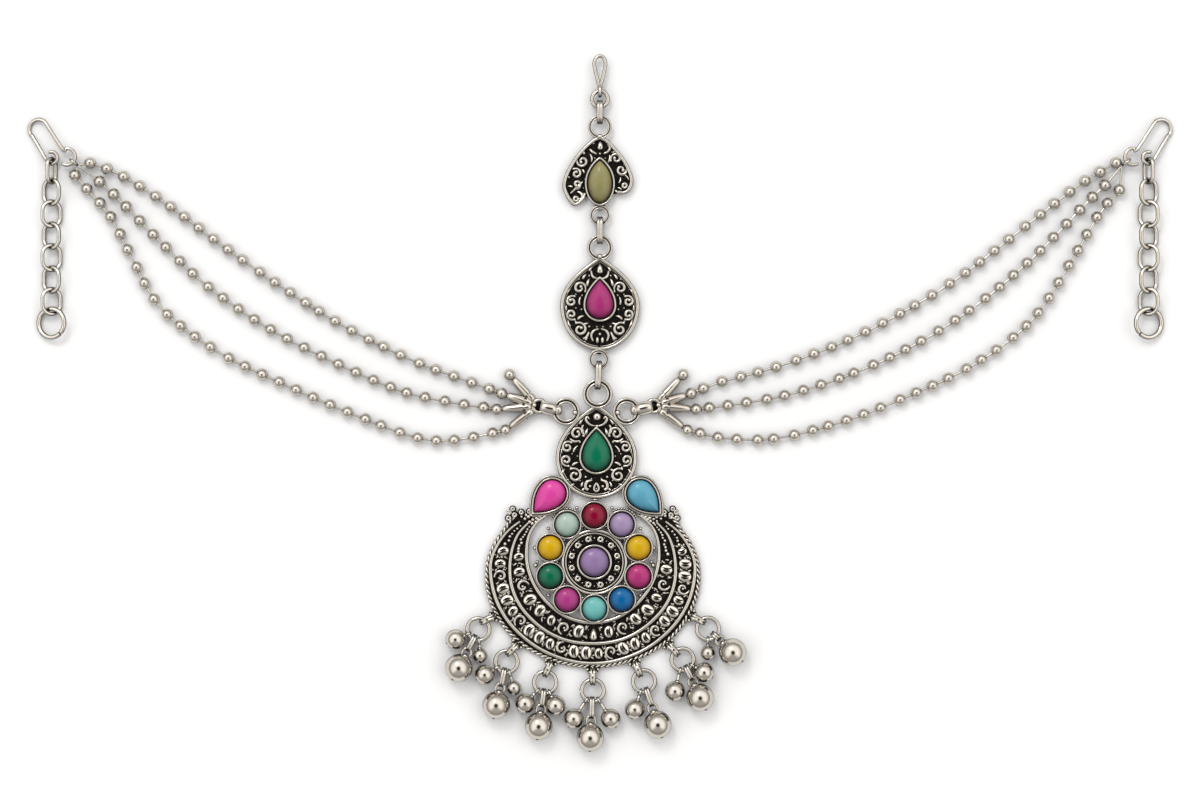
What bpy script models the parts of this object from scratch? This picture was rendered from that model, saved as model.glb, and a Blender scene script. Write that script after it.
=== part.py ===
"""Matha patti: an oxidised silver head jewel with glass cabochons, lying flat as it is laid out.

X runs along the jewel from hook to hook, Y from the fringe to the top hook, Z up from the surface.
The origin is the middle of the rosette's disc, on its flat back. All sizes are in metres.
"""

from math import atan2, ceil, cos, degrees, pi, radians, sin, sqrt

import bmesh
import bpy
from mathutils import Matrix, Vector

MM = 0.001

# Clearances shared by all pieces
FIT_GAP = 0.3 * MM
SOLDER_LAP = 0.5 * MM
FLOOR_GAP = 0.05 * MM
SETTING_LIFT = 0.2 * MM
LINK_TOUCH = 0.25 * MM

# Rosette: a disc with ten round settings soldered round it
DISC_RADIUS = 10.0 * MM
DISC_HEIGHT = 2.8 * MM
DISC_RIM = 1.3 * MM
GROUND_HEIGHT = 1.5 * MM
RELIEF_HEIGHT = 1.0 * MM
CENTRE_STONE_RADIUS = 4.3 * MM
ROUND_STONE_RADIUS = 3.55 * MM
ROUND_STONE_COUNT = 10
BEZEL_WALL = 0.55 * MM
BEZEL_HEIGHT = 3.0 * MM
SEAT_HEIGHT = 1.2 * MM
STONE_RISE = 1.7 * MM
NUB_RADIUS = 1.0 * MM
NUB_LENGTH = 0.6 * MM

# Crescent: a plate with a rope edge, three wires and two bands of bosses
CRESCENT_RADIUS = 32.6 * MM
CRESCENT_X = -0.5 * MM
CRESCENT_STEPS = 34
WIRE_RIDGE = 0.6 * MM
RIDGE_HEIGHT = 2.7 * MM
ROPE_HEIGHT = 2.4 * MM

# Pendants: half width, length above the widest line and length below it
MAIN_HALF_WIDTH, MAIN_UPPER, MAIN_LOWER = 12.2 * MM, 16.1 * MM, 12.5 * MM
MID_HALF_WIDTH, MID_UPPER, MID_LOWER = 11.9 * MM, 14.7 * MM, 13.6 * MM
MAIN_STONE_HALF, MAIN_STONE_UPPER, MAIN_STONE_LOWER = 4.25 * MM, 8.0 * MM, 4.2 * MM
MID_STONE_HALF, MID_STONE_UPPER, MID_STONE_LOWER = 4.0 * MM, 7.5 * MM, 4.0 * MM
TOP_STONE_HALF, TOP_STONE_UPPER, TOP_STONE_LOWER = 3.6 * MM, 6.7 * MM, 5.9 * MM
SIDE_STONE_HALF, SIDE_STONE_UPPER, SIDE_STONE_LOWER = 4.0 * MM, 7.6 * MM, 4.0 * MM
SIDE_SETTING_WALL = 0.95 * MM
PENDANT_HEIGHT = 3.0 * MM
PENDANT_RIM = 1.1 * MM
PENDANT_STEPS = 20
MAIN_X, MID_X, TOP_X = 0.6 * MM, 1.65 * MM, 1.65 * MM
MAIN_RING_SHIFT, MID_EYE_SHIFT = 0.4 * MM, -0.3 * MM
FLANK_ANGLE = 39.5
SIDE_STONE_TURN = 135.0
MARQUISE_SHARE = 0.85
CAP_WIDTH = 11.3 * MM

# Rings of the middle column: outer radius and wire
MAIN_RING_RADIUS, MAIN_RING_WIRE = 4.5 * MM, 1.7 * MM
SHOULDER_RING_RADIUS, SHOULDER_RING_WIRE = 4.2 * MM, 1.6 * MM
MID_RING_RADIUS, MID_RING_WIRE = 3.9 * MM, 1.35 * MM
EYE_RADIUS, EYE_WIRE = 3.1 * MM, 1.25 * MM
TOP_EYE_RADIUS, TOP_EYE_WIRE = 3.6 * MM, 1.25 * MM
HOOK_RING_RADIUS, HOOK_RING_WIRE = 3.0 * MM, 1.2 * MM
SHOULDER_ANGLE = 47.0

# Upright links of the column
LINK_WIRE = 1.25 * MM
LINK_BREADTH = 1.9 * MM
LOWER_LINK_LENGTH = 8.8 * MM
UPPER_LINK_LENGTH = 8.4 * MM
TOP_LINK_LENGTH = 7.3 * MM

# Top hook: a long loop of wire
TOP_HOOK_LENGTH = 10.2 * MM
TOP_HOOK_HALF_WIDTH = 1.7 * MM
HOOK_NECK, HOOK_WIDEST = 0.6, 0.7
HOOK_WIRE = 1.15 * MM

# Connectors and fans
CONNECTOR_LENGTH = 7.0 * MM
CONNECTOR_BREADTH = 4.0 * MM
CONNECTOR_END = 2.0 * MM
FAN_EYE_RADIUS, FAN_EYE_WIRE = 2.65 * MM, 1.0 * MM
FAN_REACH = 13.0 * MM
FAN_BAR_RADIUS = 1.25 * MM
FAN_BEAD_RADIUS = 1.8 * MM
CONNECTOR_ANGLE = 11.6

# Strands of beads
BEAD_RADIUS = 1.85 * MM
LEAD_RADIUS = 0.25 * MM
LEAD_LENGTH = 0.8 * MM

# Side hooks, gather rings, extender chains and end rings
SIDE_MIRROR_X = 1.7 * MM
HOOK_EYE_X, HOOK_EYE_Y = -157.9 * MM, 121.3 * MM
GATHER_EYE_RADIUS = 2.5 * MM
CHAIN_EYE_RADIUS = 1.8 * MM
CHAIN_EYE_SPACING = 4.6 * MM
HOOK_LOOP_RADIUS = 2.9 * MM
HOOK_LOOP_REACH = 12.0 * MM
HOOK_LOOP_ANGLE = 136.0
CHAIN_EYE_DROP = 0.3 * MM
CHAIN_EYE_BEND, HOOK_LOOP_BEND, GATHER_EYE_BEND = (105, -170), (8, -188), (118, -115)
GATHER_RING_RADIUS, GATHER_RING_WIRE = 1.7 * MM, 0.7 * MM
GATHER_ANGLE = -38.0
CHAIN_LINK_LENGTH, CHAIN_LINK_WIDTH = 8.7 * MM, 6.9 * MM
FIRST_LINK_LENGTH, FIRST_LINK_WIDTH = 8.3 * MM, 5.0 * MM
CHAIN_WIRE = 1.2 * MM
CHAIN_LINK_COUNT = 6
CHAIN_TILT, FIRST_LINK_TILT = 30.0, 60.0
END_RING_RADIUS, END_RING_WIRE = 5.0 * MM, 1.4 * MM
END_RING_TILT = 20.0

# Fringe
FRINGE_EYE_RADIUS, FRINGE_EYE_WIRE = 2.0 * MM, 0.95 * MM
FRINGE_EYE_DRAW = 1.5 * MM
FRINGE_RING_RADIUS, FRINGE_RING_WIRE = 3.95 * MM, 1.2 * MM
DROP_LINK_WIRE, DROP_LINK_BREADTH = 0.85 * MM, 0.9 * MM
BALL_RADIUS = {"big": 4.3 * MM, "mid": 3.1 * MM, "small": 2.3 * MM}
STALK_RADIUS = 0.5 * MM
FRINGE_REACH = 13.0 * MM
FRINGE_SPACING = 13.0 * MM

# Crescent sections: angle from the bottom, then edge, outer, middle and inner wire as shares
# of the way from the rosette's settings to CRESCENT_RADIUS
CRESCENT_SECTIONS = (
    (0, 0.960, 0.846, 0.437, 0.009),
    (22, 0.984, 0.844, 0.462, 0.009),
    (45, 1.047, 0.866, 0.482, 0.011),
    (62, 1.063, 0.891, 0.504, 0.035),
    (76, 1.040, 0.884, 0.495, 0.071),
    (90, 0.967, 0.857, 0.462, 0.116),
    (100, 0.862, 0.754, 0.437, 0.145),
    (110, 0.743, 0.620, 0.404, 0.178),
    (119, 0.687, 0.475, 0.330, 0.185),
    (126, 0.471, 0.364, 0.274, 0.163),
    (132, 0.263, 0.227, 0.192, 0.134),
    (137, 0.147, 0.134, 0.120, 0.102),
)

# Cap of the top pendant: angle clockwise from its tip, and reach as a share of CAP_WIDTH
CAP_SECTIONS = (
    (-133, 0.80), (-130, 0.92), (-120, 0.945), (-112, 0.965), (-95, 1.0), (-76, 0.956), (-49, 0.950),
    (-24, 1.06), (-9, 1.19), (0, 1.28), (9, 1.18), (24, 1.03), (47, 0.920), (72, 0.890), (88, 0.885),
    (102, 0.83), (111, 0.74), (116, 0.60),
)

# Bars of a fan: angle from the connector's line, towards the top first, and length as a share of FAN_REACH
FAN_BARS = ((35.0, 1.0), (7.0, 0.92), (-16.0, 0.99), (-47.0, 0.96))

# Fringe: place along the crescent as a share of FRINGE_SPACING, hang angle of the ring, then balls as
# (size, direction, share of FRINGE_REACH), both angles measured from straight out of the edge
FRINGE_GROUPS = (
    (-2.69, 24.5, (("big", 33.5, 0.99), ("mid", -5.5, 0.57), ("small", 65.5, 0.60))),
    (-1.87, 22.7, (("big", 30.7, 1.01), ("mid", -17.3, 0.575), ("small", 58.7, 0.62))),
    (-1.0, 14.8, (("big", 15.8, 1.00), ("mid", -21.2, 0.66), ("mid", 47.8, 0.57))),
    (0.0, 0.0, (("big", -2.0, 1.07), ("mid", -34.5, 0.77), ("mid", 33.0, 0.76))),
    (1.0, 5.2, (("big", -4.2, 1.04), ("mid", -41.3, 0.67))),
    (1.87, -0.7, (("big", -17.0, 0.96), ("mid", -56.7, 0.74), ("mid", 17.3, 0.57))),
    (2.69, -19.5, (("big", -13.5, 0.79), ("small", -61.5, 0.55))),
)

# Routes of the strands, from fan to gather ring, as points in millimetres
STRAND_ROUTES = {
    "left_strand_upper": (
        (-37.2, 53.9), (-54.8, 60.5), (-75.2, 70.7), (-94.2, 82.7), (-111.9, 95.1), (-128.9, 107.8),
        (-142.4, 116.2), (-151.0, 119.5)),
    "left_strand_middle": (
        (-40.0, 47.3), (-57.0, 50.9), (-77.5, 59.6), (-97.8, 70.1), (-116.3, 82.9), (-131.1, 97.0),
        (-142.1, 108.3), (-148.2, 113.9)),
    "left_strand_lower": (
        (-34.3, 37.6), (-50.5, 36.6), (-72.2, 44.2), (-92.7, 53.1), (-112.7, 62.9), (-129.6, 75.8),
        (-138.0, 90.0), (-144.9, 103.3), (-151.6, 111.2), (-155.6, 115.8)),
    "right_strand_upper": (
        (36.8, 53.7), (52.9, 57.9), (73.5, 65.4), (91.5, 74.3), (109.5, 85.4), (129.8, 101.1),
        (145.8, 113.4), (156.2, 119.5)),
    "right_strand_middle": (
        (42.2, 47.2), (58.5, 50.2), (79.4, 57.2), (98.6, 66.5), (115.7, 77.8), (132.2, 91.9),
        (146.7, 106.8), (152.9, 112.8)),
    "right_strand_lower": (
        (36.1, 37.4), (52.9, 36.8), (74.6, 42.1), (94.8, 50.0), (113.7, 59.1), (130.6, 71.9),
        (142.5, 89.4), (150.5, 103.2), (157.2, 111.4)),
}

# Heights that several pieces share
UPRIGHT_INNER = MAIN_RING_WIRE + 2 * FIT_GAP
EYE_Z = FLOOR_GAP + LINK_WIRE + UPRIGHT_INNER / 2
CHAIN_Z = FLOOR_GAP + CHAIN_LINK_WIDTH / 2 * sin(radians(CHAIN_TILT)) + CHAIN_WIRE / 2
DROP_INNER = FRINGE_RING_WIRE + 2 * FIT_GAP
FRINGE_Z = FLOOR_GAP + max(DROP_LINK_WIRE + DROP_INNER / 2, FRINGE_EYE_RADIUS)

# Colours of the metal and the glass stones, linear RGB
SILVER = (0.52, 0.51, 0.49)
GLASS = {
    "violet_glass": (0.32, 0.21, 0.43), "emerald_glass": (0.0, 0.19, 0.09),
    "magenta_glass": (0.48, 0.01, 0.20),
    "olive_glass": (0.39, 0.35, 0.16), "pink_glass": (0.80, 0.05, 0.40), "sky_glass": (0.08, 0.40, 0.62),
    "crimson_glass": (0.45, 0.01, 0.05), "mint_glass": (0.34, 0.45, 0.40),
    "amber_glass": (0.72, 0.46, 0.02),
    "green_glass": (0.0, 0.18, 0.10), "orchid_glass": (0.52, 0.08, 0.28), "aqua_glass": (0.11, 0.52, 0.52),
    "cobalt_glass": (0.0, 0.15, 0.38), "fuchsia_glass": (0.55, 0.03, 0.24), "lilac_glass": (0.37, 0.27, 0.46),
}
ROSETTE_COLOURS = (
    "crimson_glass", "mint_glass", "amber_glass", "green_glass", "orchid_glass", "aqua_glass",
    "cobalt_glass", "fuchsia_glass", "amber_glass", "lilac_glass",
)


def clear_scene():
    for old in list(bpy.data.objects):
        bpy.data.objects.remove(old, do_unlink=True)


def new_collection(name):
    collection = bpy.data.collections.new(name)
    bpy.context.scene.collection.children.link(collection)
    return collection


def material(name, colour, roughness=0.3, metallic=0.0):
    """A Principled BSDF material of one colour, made once for each name."""
    found = bpy.data.materials.get(name)
    if found:
        return found
    made = bpy.data.materials.new(name)
    made.use_nodes = True
    shader = made.node_tree.nodes["Principled BSDF"]
    shader.inputs["Base Color"].default_value = (*colour, 1.0)
    shader.inputs["Roughness"].default_value = roughness
    shader.inputs["Metallic"].default_value = metallic
    return made


def silver():
    return material("oxidised_silver", SILVER, 0.3, 1.0)


def place(mesh, name, collection, finish=None):
    """An object in the collection for a bmesh, its faces turned outwards and shaded smooth."""
    bmesh.ops.recalc_face_normals(mesh, faces=mesh.faces)
    data = bpy.data.meshes.new(name)
    mesh.to_mesh(data)
    mesh.free()
    data.shade_smooth()
    data.set_sharp_from_angle(angle=radians(40))
    data.materials.append(finish or silver())
    made = bpy.data.objects.new(name, data)
    collection.objects.link(made)
    return made


def loft(loops):
    """A closed body through loops of points, each with as many points, capped at both ends."""
    mesh = bmesh.new()
    rows = [[mesh.verts.new(point) for point in loop] for loop in loops]
    for near, far in zip(rows, rows[1:]):
        for i in range(len(near)):
            j = (i + 1) % len(near)
            mesh.faces.new((near[i], near[j], far[j], far[i]))
    mesh.faces.new(rows[0])
    mesh.faces.new(rows[-1])
    return mesh


def ring(radius, wire, steps=10, sides=5, stretch=0.0, breadth=None):
    """A flat ring of round wire by its outer radius, drawn out along X, its wire as broad as breadth."""
    mesh = bmesh.new()
    middle = radius - wire / 2
    for i in range(sides):
        turn = 2 * pi * i / sides
        mesh.verts.new((middle + wire / 2 * cos(turn), 0, (breadth or wire) / 2 * sin(turn)))
    mesh.verts.ensure_lookup_table()
    for i in range(sides):
        mesh.edges.new((mesh.verts[i], mesh.verts[(i + 1) % sides]))
    bmesh.ops.spin(
        mesh, geom=mesh.verts[:] + mesh.edges[:], axis=(0, 0, 1), cent=(0, 0, 0),
        angle=2 * pi, steps=steps, use_merge=True)
    turn = Matrix.Rotation(pi / steps, 4, "Z")
    bmesh.ops.transform(mesh, matrix=turn, verts=mesh.verts)
    for point in mesh.verts:
        if abs(point.co.x) > wire * 0.01:
            point.co.x += stretch / 2 if point.co.x > 0 else -stretch / 2
    return mesh


def ball(radius, segments=10, rings=6):
    mesh = bmesh.new()
    bmesh.ops.create_uvsphere(mesh, u_segments=segments, v_segments=rings, radius=radius)
    return mesh


def rod(start, end, radius, far_radius, sides=5):
    """A tapered rod between two points."""
    mesh = bmesh.new()
    along = Vector(end) - Vector(start)
    bmesh.ops.create_cone(
        mesh, cap_ends=True, segments=sides, radius1=radius, radius2=far_radius, depth=along.length)
    turn = along.to_track_quat("Z", "Y").to_matrix().to_4x4()
    middle = Matrix.Translation((Vector(start) + Vector(end)) / 2)
    bmesh.ops.transform(mesh, matrix=middle @ turn, verts=mesh.verts)
    return mesh


def moved(mesh, place_at, turn_z=0.0, tilt_y=0.0, upright=False):
    """The mesh tilted, turned about Z and carried to a point; upright stands a flat ring on its edge."""
    turn = Matrix.Rotation(radians(turn_z), 4, "Z") @ Matrix.Rotation(radians(tilt_y), 4, "Y")
    if upright:
        turn = turn @ Matrix.Rotation(pi / 2, 4, "X")
    bmesh.ops.transform(mesh, matrix=Matrix.Translation(place_at) @ turn, verts=mesh.verts)
    return mesh


def upright_link(name, start, end, inner_height, wire, breadth, collection, end_breadth=None):
    """An oval link on its edge, its inner ends at two points; end_breadth narrows it at its ends."""
    start, end = Vector(start), Vector(end)
    span = end - start
    radius = inner_height / 2 + wire
    stretch = span.length - inner_height
    mesh = ring(radius, wire, steps=10, stretch=stretch, breadth=breadth)
    if end_breadth:
        reach = stretch / 2 + radius
        for point in mesh.verts:
            share = min(abs(point.co.x) / reach, 1.0)
            point.co.z *= 1.0 + (end_breadth / breadth - 1.0) * share ** 2
    moved(mesh, (start + end) / 2, degrees(atan2(span.y, span.x)), upright=True)
    return place(mesh, name, collection)


def soldered(name, first, others, collection, hidden):
    """One solid of metal from a first mesh and those soldered to it."""
    base = place(first, name, collection)
    group = bpy.data.collections.new(name + "_joined")
    hidden.children.link(group)
    for i, mesh in enumerate(others):
        piece = place(mesh, f"{name}_joined_{i:02d}", group)
        piece.hide_render = True
        piece.display_type = "WIRE"
    union = base.modifiers.new("Solder", "BOOLEAN")
    union.operation = "UNION"
    union.operand_type = "COLLECTION"
    union.collection = group
    union.solver = "EXACT"
    return base


def oval(half, upper, lower, steps, point_share=1.0):
    """A pointed oval: an outline with its tip at +Y, round below. point_share 0.5 is a plain ellipse."""
    points = []
    for i in range(steps):
        t = 2 * pi * i / steps
        power = 2 * point_share if cos(t) > 0 else 1.0
        x = half * abs(sin(t)) ** power * (1 if sin(t) > 0 else -1)
        points.append((x, (upper if cos(t) > 0 else lower) * cos(t)))
    return points


def inset_oval(half, upper, lower, inset, steps, point_share=1.0):
    """The pointed oval drawn in by inset, more at its tip as its slope asks; a negative inset grows it."""
    tip = inset * sqrt(1 + (upper / (2 * half)) ** 2)
    return oval(half - inset, upper - tip, lower - inset, steps, point_share)


def level(outline, z, centre=(0.0, 0.0), turn=0.0):
    """An outline as points at one height, turned by degrees about its own middle."""
    c, s = cos(radians(turn)), sin(radians(turn))
    return [(centre[0] + x * c - y * s, centre[1] + x * s + y * c, z) for x, y in outline]


def bosses(outline, low, high, centre=(0.0, 0.0)):
    """An outline whose points stand high and low by turns, for a row of raised bosses."""
    return [(centre[0] + x, centre[1] + y, high if i % 2 else low) for i, (x, y) in enumerate(outline)]


def circle(radius, steps):
    return [(radius * sin(2 * pi * i / steps), radius * cos(2 * pi * i / steps)) for i in range(steps)]


def cabochon(name, outlines, centre, seat, height, colour, collection, turn=0.0):
    """A domed stone through shrinking outlines, the first its girdle."""
    rise = STONE_RISE
    rises = (0.62, 0.93) if len(outlines) == 4 else (0.88,)
    heights = (seat + FIT_GAP, height) + tuple(height + rise * share for share in rises)
    loops = [level(outline, z, centre, turn) for outline, z in zip(outlines, heights)]
    return place(loft(loops), name, collection, material(colour, GLASS[colour], 0.08))


def pear_stone(name, half, upper, lower, centre, height, colour, collection, turn=0.0, point_share=1.0):
    girdle = oval(half, upper, lower, 14, point_share)
    outlines = [[(x * share, y * share) for x, y in girdle] for share in (1.0, 1.0, 0.74, 0.40)]
    return cabochon(name, outlines, centre, SEAT_HEIGHT, height, colour, collection, turn)


def round_stone(name, radius, centre, height, colour, collection):
    outlines = [circle(radius * share, 10) for share in (1.0, 1.0, 0.62)]
    return cabochon(name, outlines, centre, SEAT_HEIGHT, height, colour, collection)


def rosette_radius():
    return DISC_RADIUS + bezel_radius() - SOLDER_LAP


def bezel_radius():
    return ROUND_STONE_RADIUS + FIT_GAP + BEZEL_WALL


def rosette_place(i):
    """The middle of a round setting, counted anticlockwise from the top."""
    turn = 2 * pi * i / ROUND_STONE_COUNT
    return -rosette_radius() * sin(turn), rosette_radius() * cos(turn)


def disc():
    """The rosette's disc, with its rim, a ring of granules and the bezel of the centre stone."""
    steps = 20
    inner = CENTRE_STONE_RADIUS + FIT_GAP
    ground = DISC_RADIUS - DISC_RIM
    bezel = inner + BEZEL_WALL
    raised = GROUND_HEIGHT + RELIEF_HEIGHT
    return loft([
        level(circle(DISC_RADIUS, steps), 0.0),
        level(circle(DISC_RADIUS, steps), DISC_HEIGHT - DISC_RIM / 2),
        level(circle(DISC_RADIUS - DISC_RIM / 2, steps), DISC_HEIGHT),
        level(circle(ground, steps), GROUND_HEIGHT),
        bosses(circle((ground + bezel) / 2, steps), GROUND_HEIGHT, raised),
        level(circle(bezel, steps), GROUND_HEIGHT),
        level(circle(bezel - BEZEL_WALL / 4, steps), BEZEL_HEIGHT + SETTING_LIFT),
        level(circle(inner, steps), BEZEL_HEIGHT + SETTING_LIFT),
        level(circle(inner, steps), SEAT_HEIGHT),
    ])


def round_bezel(i):
    steps = 10
    x, y = rosette_place(i)
    inner = ROUND_STONE_RADIUS + FIT_GAP
    turn = 360 * i / ROUND_STONE_COUNT
    return loft([
        level(circle(bezel_radius(), steps), SETTING_LIFT, (x, y), turn),
        level(circle(bezel_radius() - BEZEL_WALL / 4, steps), BEZEL_HEIGHT, (x, y), turn),
        level(circle(inner, steps), BEZEL_HEIGHT, (x, y), turn),
        level(circle(inner, steps), SEAT_HEIGHT, (x, y), turn),
    ])


def crescent_section(angle):
    """Edge, outer, middle and inner radius at an angle from the bottom, smooth between the sections."""
    rows = CRESCENT_SECTIONS
    rows = (((-rows[1][0],) + rows[1][1:]),) + rows + (rows[-1],)
    angle = abs(angle)
    k = 1
    while k < len(rows) - 3 and rows[k + 1][0] < angle:
        k += 1
    share = min(max((angle - rows[k][0]) / (rows[k + 1][0] - rows[k][0]), 0.0), 1.0)
    a, b, c, d = rows[k - 1:k + 3]
    settings = rosette_radius() + bezel_radius() - FIT_GAP
    shares = (smooth(a[i], b[i], c[i], d[i], share) for i in range(1, 5))
    return [settings + (CRESCENT_RADIUS - settings) * value for value in shares]


def smooth(a, b, c, d, t):
    """The smooth curve from b to c whose neighbours are a and d."""
    square, cube = 2 * a - 5 * b + 4 * c - d, 3 * b - a - 3 * c + d
    return 0.5 * (2 * b + (c - a) * t + square * t ** 2 + cube * t ** 3)


def edge_radius(angle):
    return crescent_section(angle)[0]


def crescent():
    """The crescent plate as a row of sections from one horn to the other."""
    last = CRESCENT_SECTIONS[-1][0]
    loops = []
    for i in range(CRESCENT_STEPS + 1):
        angle = -last + 2 * last * i / CRESCENT_STEPS
        edge, outer, middle, inner = crescent_section(angle)
        ridge = min(WIRE_RIDGE, (outer - middle) * 0.4, (middle - inner) * 0.4)
        raised = GROUND_HEIGHT + (RELIEF_HEIGHT if i % 2 else 0.0)
        profile = (
            (edge, 0.0), (edge - ridge * 0.3, ROPE_HEIGHT), ((edge + outer) / 2, GROUND_HEIGHT),
            (outer, RIDGE_HEIGHT), (outer - ridge, GROUND_HEIGHT), ((outer + middle) / 2, raised),
            (middle + ridge, GROUND_HEIGHT), (middle, RIDGE_HEIGHT), (middle - ridge, GROUND_HEIGHT),
            ((middle + inner) / 2, raised), (inner + ridge, GROUND_HEIGHT), (inner, RIDGE_HEIGHT),
            (inner - ridge, 0.0),
        )
        c, s = cos(radians(angle)), sin(radians(angle))
        loops.append([(CRESCENT_X + r * s, -r * c, z) for r, z in profile])
    return loft(loops)


def plate(half, upper, lower, stone, centre):
    """A pendant's plate: rim, ground with a row of bosses and the bezel round its stone."""
    n = PENDANT_STEPS
    bezel = [inset_oval(*stone, -FIT_GAP - wall, n) for wall in (BEZEL_WALL * 1.6, BEZEL_WALL, 0.0)]
    ground = inset_oval(half, upper, lower, PENDANT_RIM, n)
    between = [((x + u) / 2, (y + v) / 2) for (x, y), (u, v) in zip(ground, bezel[0])]
    top = PENDANT_HEIGHT + SETTING_LIFT
    return loft([
        level(oval(half, upper, lower, n), 0.0, centre),
        level(oval(half, upper, lower, n), PENDANT_HEIGHT - PENDANT_RIM / 3, centre),
        level(inset_oval(half, upper, lower, PENDANT_RIM / 2, n), PENDANT_HEIGHT, centre),
        level(ground, GROUND_HEIGHT, centre),
        bosses(between, GROUND_HEIGHT, GROUND_HEIGHT + RELIEF_HEIGHT, centre),
        level(bezel[0], GROUND_HEIGHT, centre),
        level(bezel[1], top, centre),
        level(bezel[2], top, centre),
        level(bezel[2], SEAT_HEIGHT, centre),
    ])


def pear_bezel(stone, wall, centre, turn=0.0, point_share=1.0, lift=SETTING_LIFT):
    n = 16
    outer = inset_oval(*stone, -FIT_GAP - wall, n, point_share)
    shoulder = inset_oval(*stone, -FIT_GAP - wall * 0.6, n, point_share)
    inner = inset_oval(*stone, -FIT_GAP, n, point_share)
    return loft([
        level(outer, lift, centre, turn),
        level(shoulder, PENDANT_HEIGHT + lift, centre, turn),
        level(inner, PENDANT_HEIGHT + lift, centre, turn),
        level(inner, SEAT_HEIGHT, centre, turn),
    ])


def main_centre():
    """The widest point of the main teardrop, above the rosette's top setting."""
    return MAIN_X, rosette_radius() + bezel_radius() + NUB_LENGTH + MAIN_LOWER


def side_size():
    return SIDE_STONE_HALF + FIT_GAP + SIDE_SETTING_WALL


def side_place(side):
    """Middle of a side setting, soldered to the teardrop's lower flank."""
    x, y = main_centre()
    reach = (MAIN_HALF_WIDTH + MAIN_LOWER) / 2 + side_size() - SOLDER_LAP
    flank = radians(FLANK_ANGLE)
    return x + side * reach * cos(flank), y - reach * sin(flank)


def shoulder_place(side):
    """Middle of a shoulder ring, soldered to the teardrop's shoulder."""
    x, y = main_centre()
    t = radians(SHOULDER_ANGLE)
    px, py = MAIN_HALF_WIDTH * sin(t) ** 2, MAIN_UPPER * cos(t)
    slope = Vector((MAIN_UPPER * sin(t), MAIN_HALF_WIDTH * 2 * sin(t) * cos(t))).normalized()
    out = SHOULDER_RING_RADIUS - SOLDER_LAP
    return x + side * (px + slope.x * out), y + py + slope.y * out


def connector_line(side):
    """Direction of a connector, away from the middle."""
    turn = radians(CONNECTOR_ANGLE)
    return Vector((side * cos(turn), sin(turn), 0.0))


def fan_eye_place(side):
    x, y = shoulder_place(side)
    hook_in = SHOULDER_RING_RADIUS - SHOULDER_RING_WIRE - FIT_GAP
    far = hook_in + CONNECTOR_LENGTH - 2 * LINK_WIRE
    eye_inner = FAN_EYE_RADIUS - FAN_EYE_WIRE
    return Vector((x, y, EYE_Z)) + connector_line(side) * (far - FIT_GAP + eye_inner)


def fan_beads(side):
    """Middle of the end bead of each bar."""
    eye = fan_eye_place(side)
    base = CONNECTOR_ANGLE
    beads = []
    for angle, share in FAN_BARS:
        turn = radians(base + angle)
        flat = Vector((side * cos(turn), sin(turn), 0.0)) * FAN_REACH * share
        beads.append(Vector((eye.x + flat.x, eye.y + flat.y, FAN_BEAD_RADIUS + FLOOR_GAP)))
    return beads


def fan(side, name, collection, hidden):
    """Four tapered bars with end beads, soldered to one flat eye."""
    eye = fan_eye_place(side)
    parts = []
    for bead in fan_beads(side):
        along = (bead - eye).normalized()
        start = eye + along * (FAN_EYE_RADIUS - FAN_EYE_WIRE * 0.6)
        parts.append(rod(start, bead, FAN_BAR_RADIUS * 0.55, FAN_BAR_RADIUS, 6))
        parts.append(moved(ball(FAN_BEAD_RADIUS, 10, 4), bead))
    eye_ring = moved(ring(FAN_EYE_RADIUS, FAN_EYE_WIRE), eye)
    return soldered(name, eye_ring, parts, collection, hidden)


def fringe_angle(share):
    """The angle from the bottom of an eye set along the crescent."""
    return degrees(share * FRINGE_SPACING / CRESCENT_RADIUS)


def fringe_eye(angle):
    """The middle of an upright eye on the crescent's edge."""
    out = edge_radius(angle) - SOLDER_LAP + FRINGE_EYE_RADIUS + FRINGE_EYE_DRAW / 2
    turn = radians(angle)
    return Vector((CRESCENT_X + out * sin(turn), -out * cos(turn), FRINGE_Z))


def fringe_ring_place(angle, hang):
    turn, edge = radians(hang), radians(angle)
    rest = FRINGE_EYE_DRAW / 2 + FRINGE_EYE_RADIUS - FRINGE_EYE_WIRE - FIT_GAP - FRINGE_RING_WIRE / 2
    crossing = fringe_eye(angle) + Vector((sin(edge), -cos(edge), 0.0)) * rest
    reach = FRINGE_RING_RADIUS - FRINGE_RING_WIRE / 2
    return crossing + Vector((sin(turn), -cos(turn), 0.0)) * reach


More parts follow.
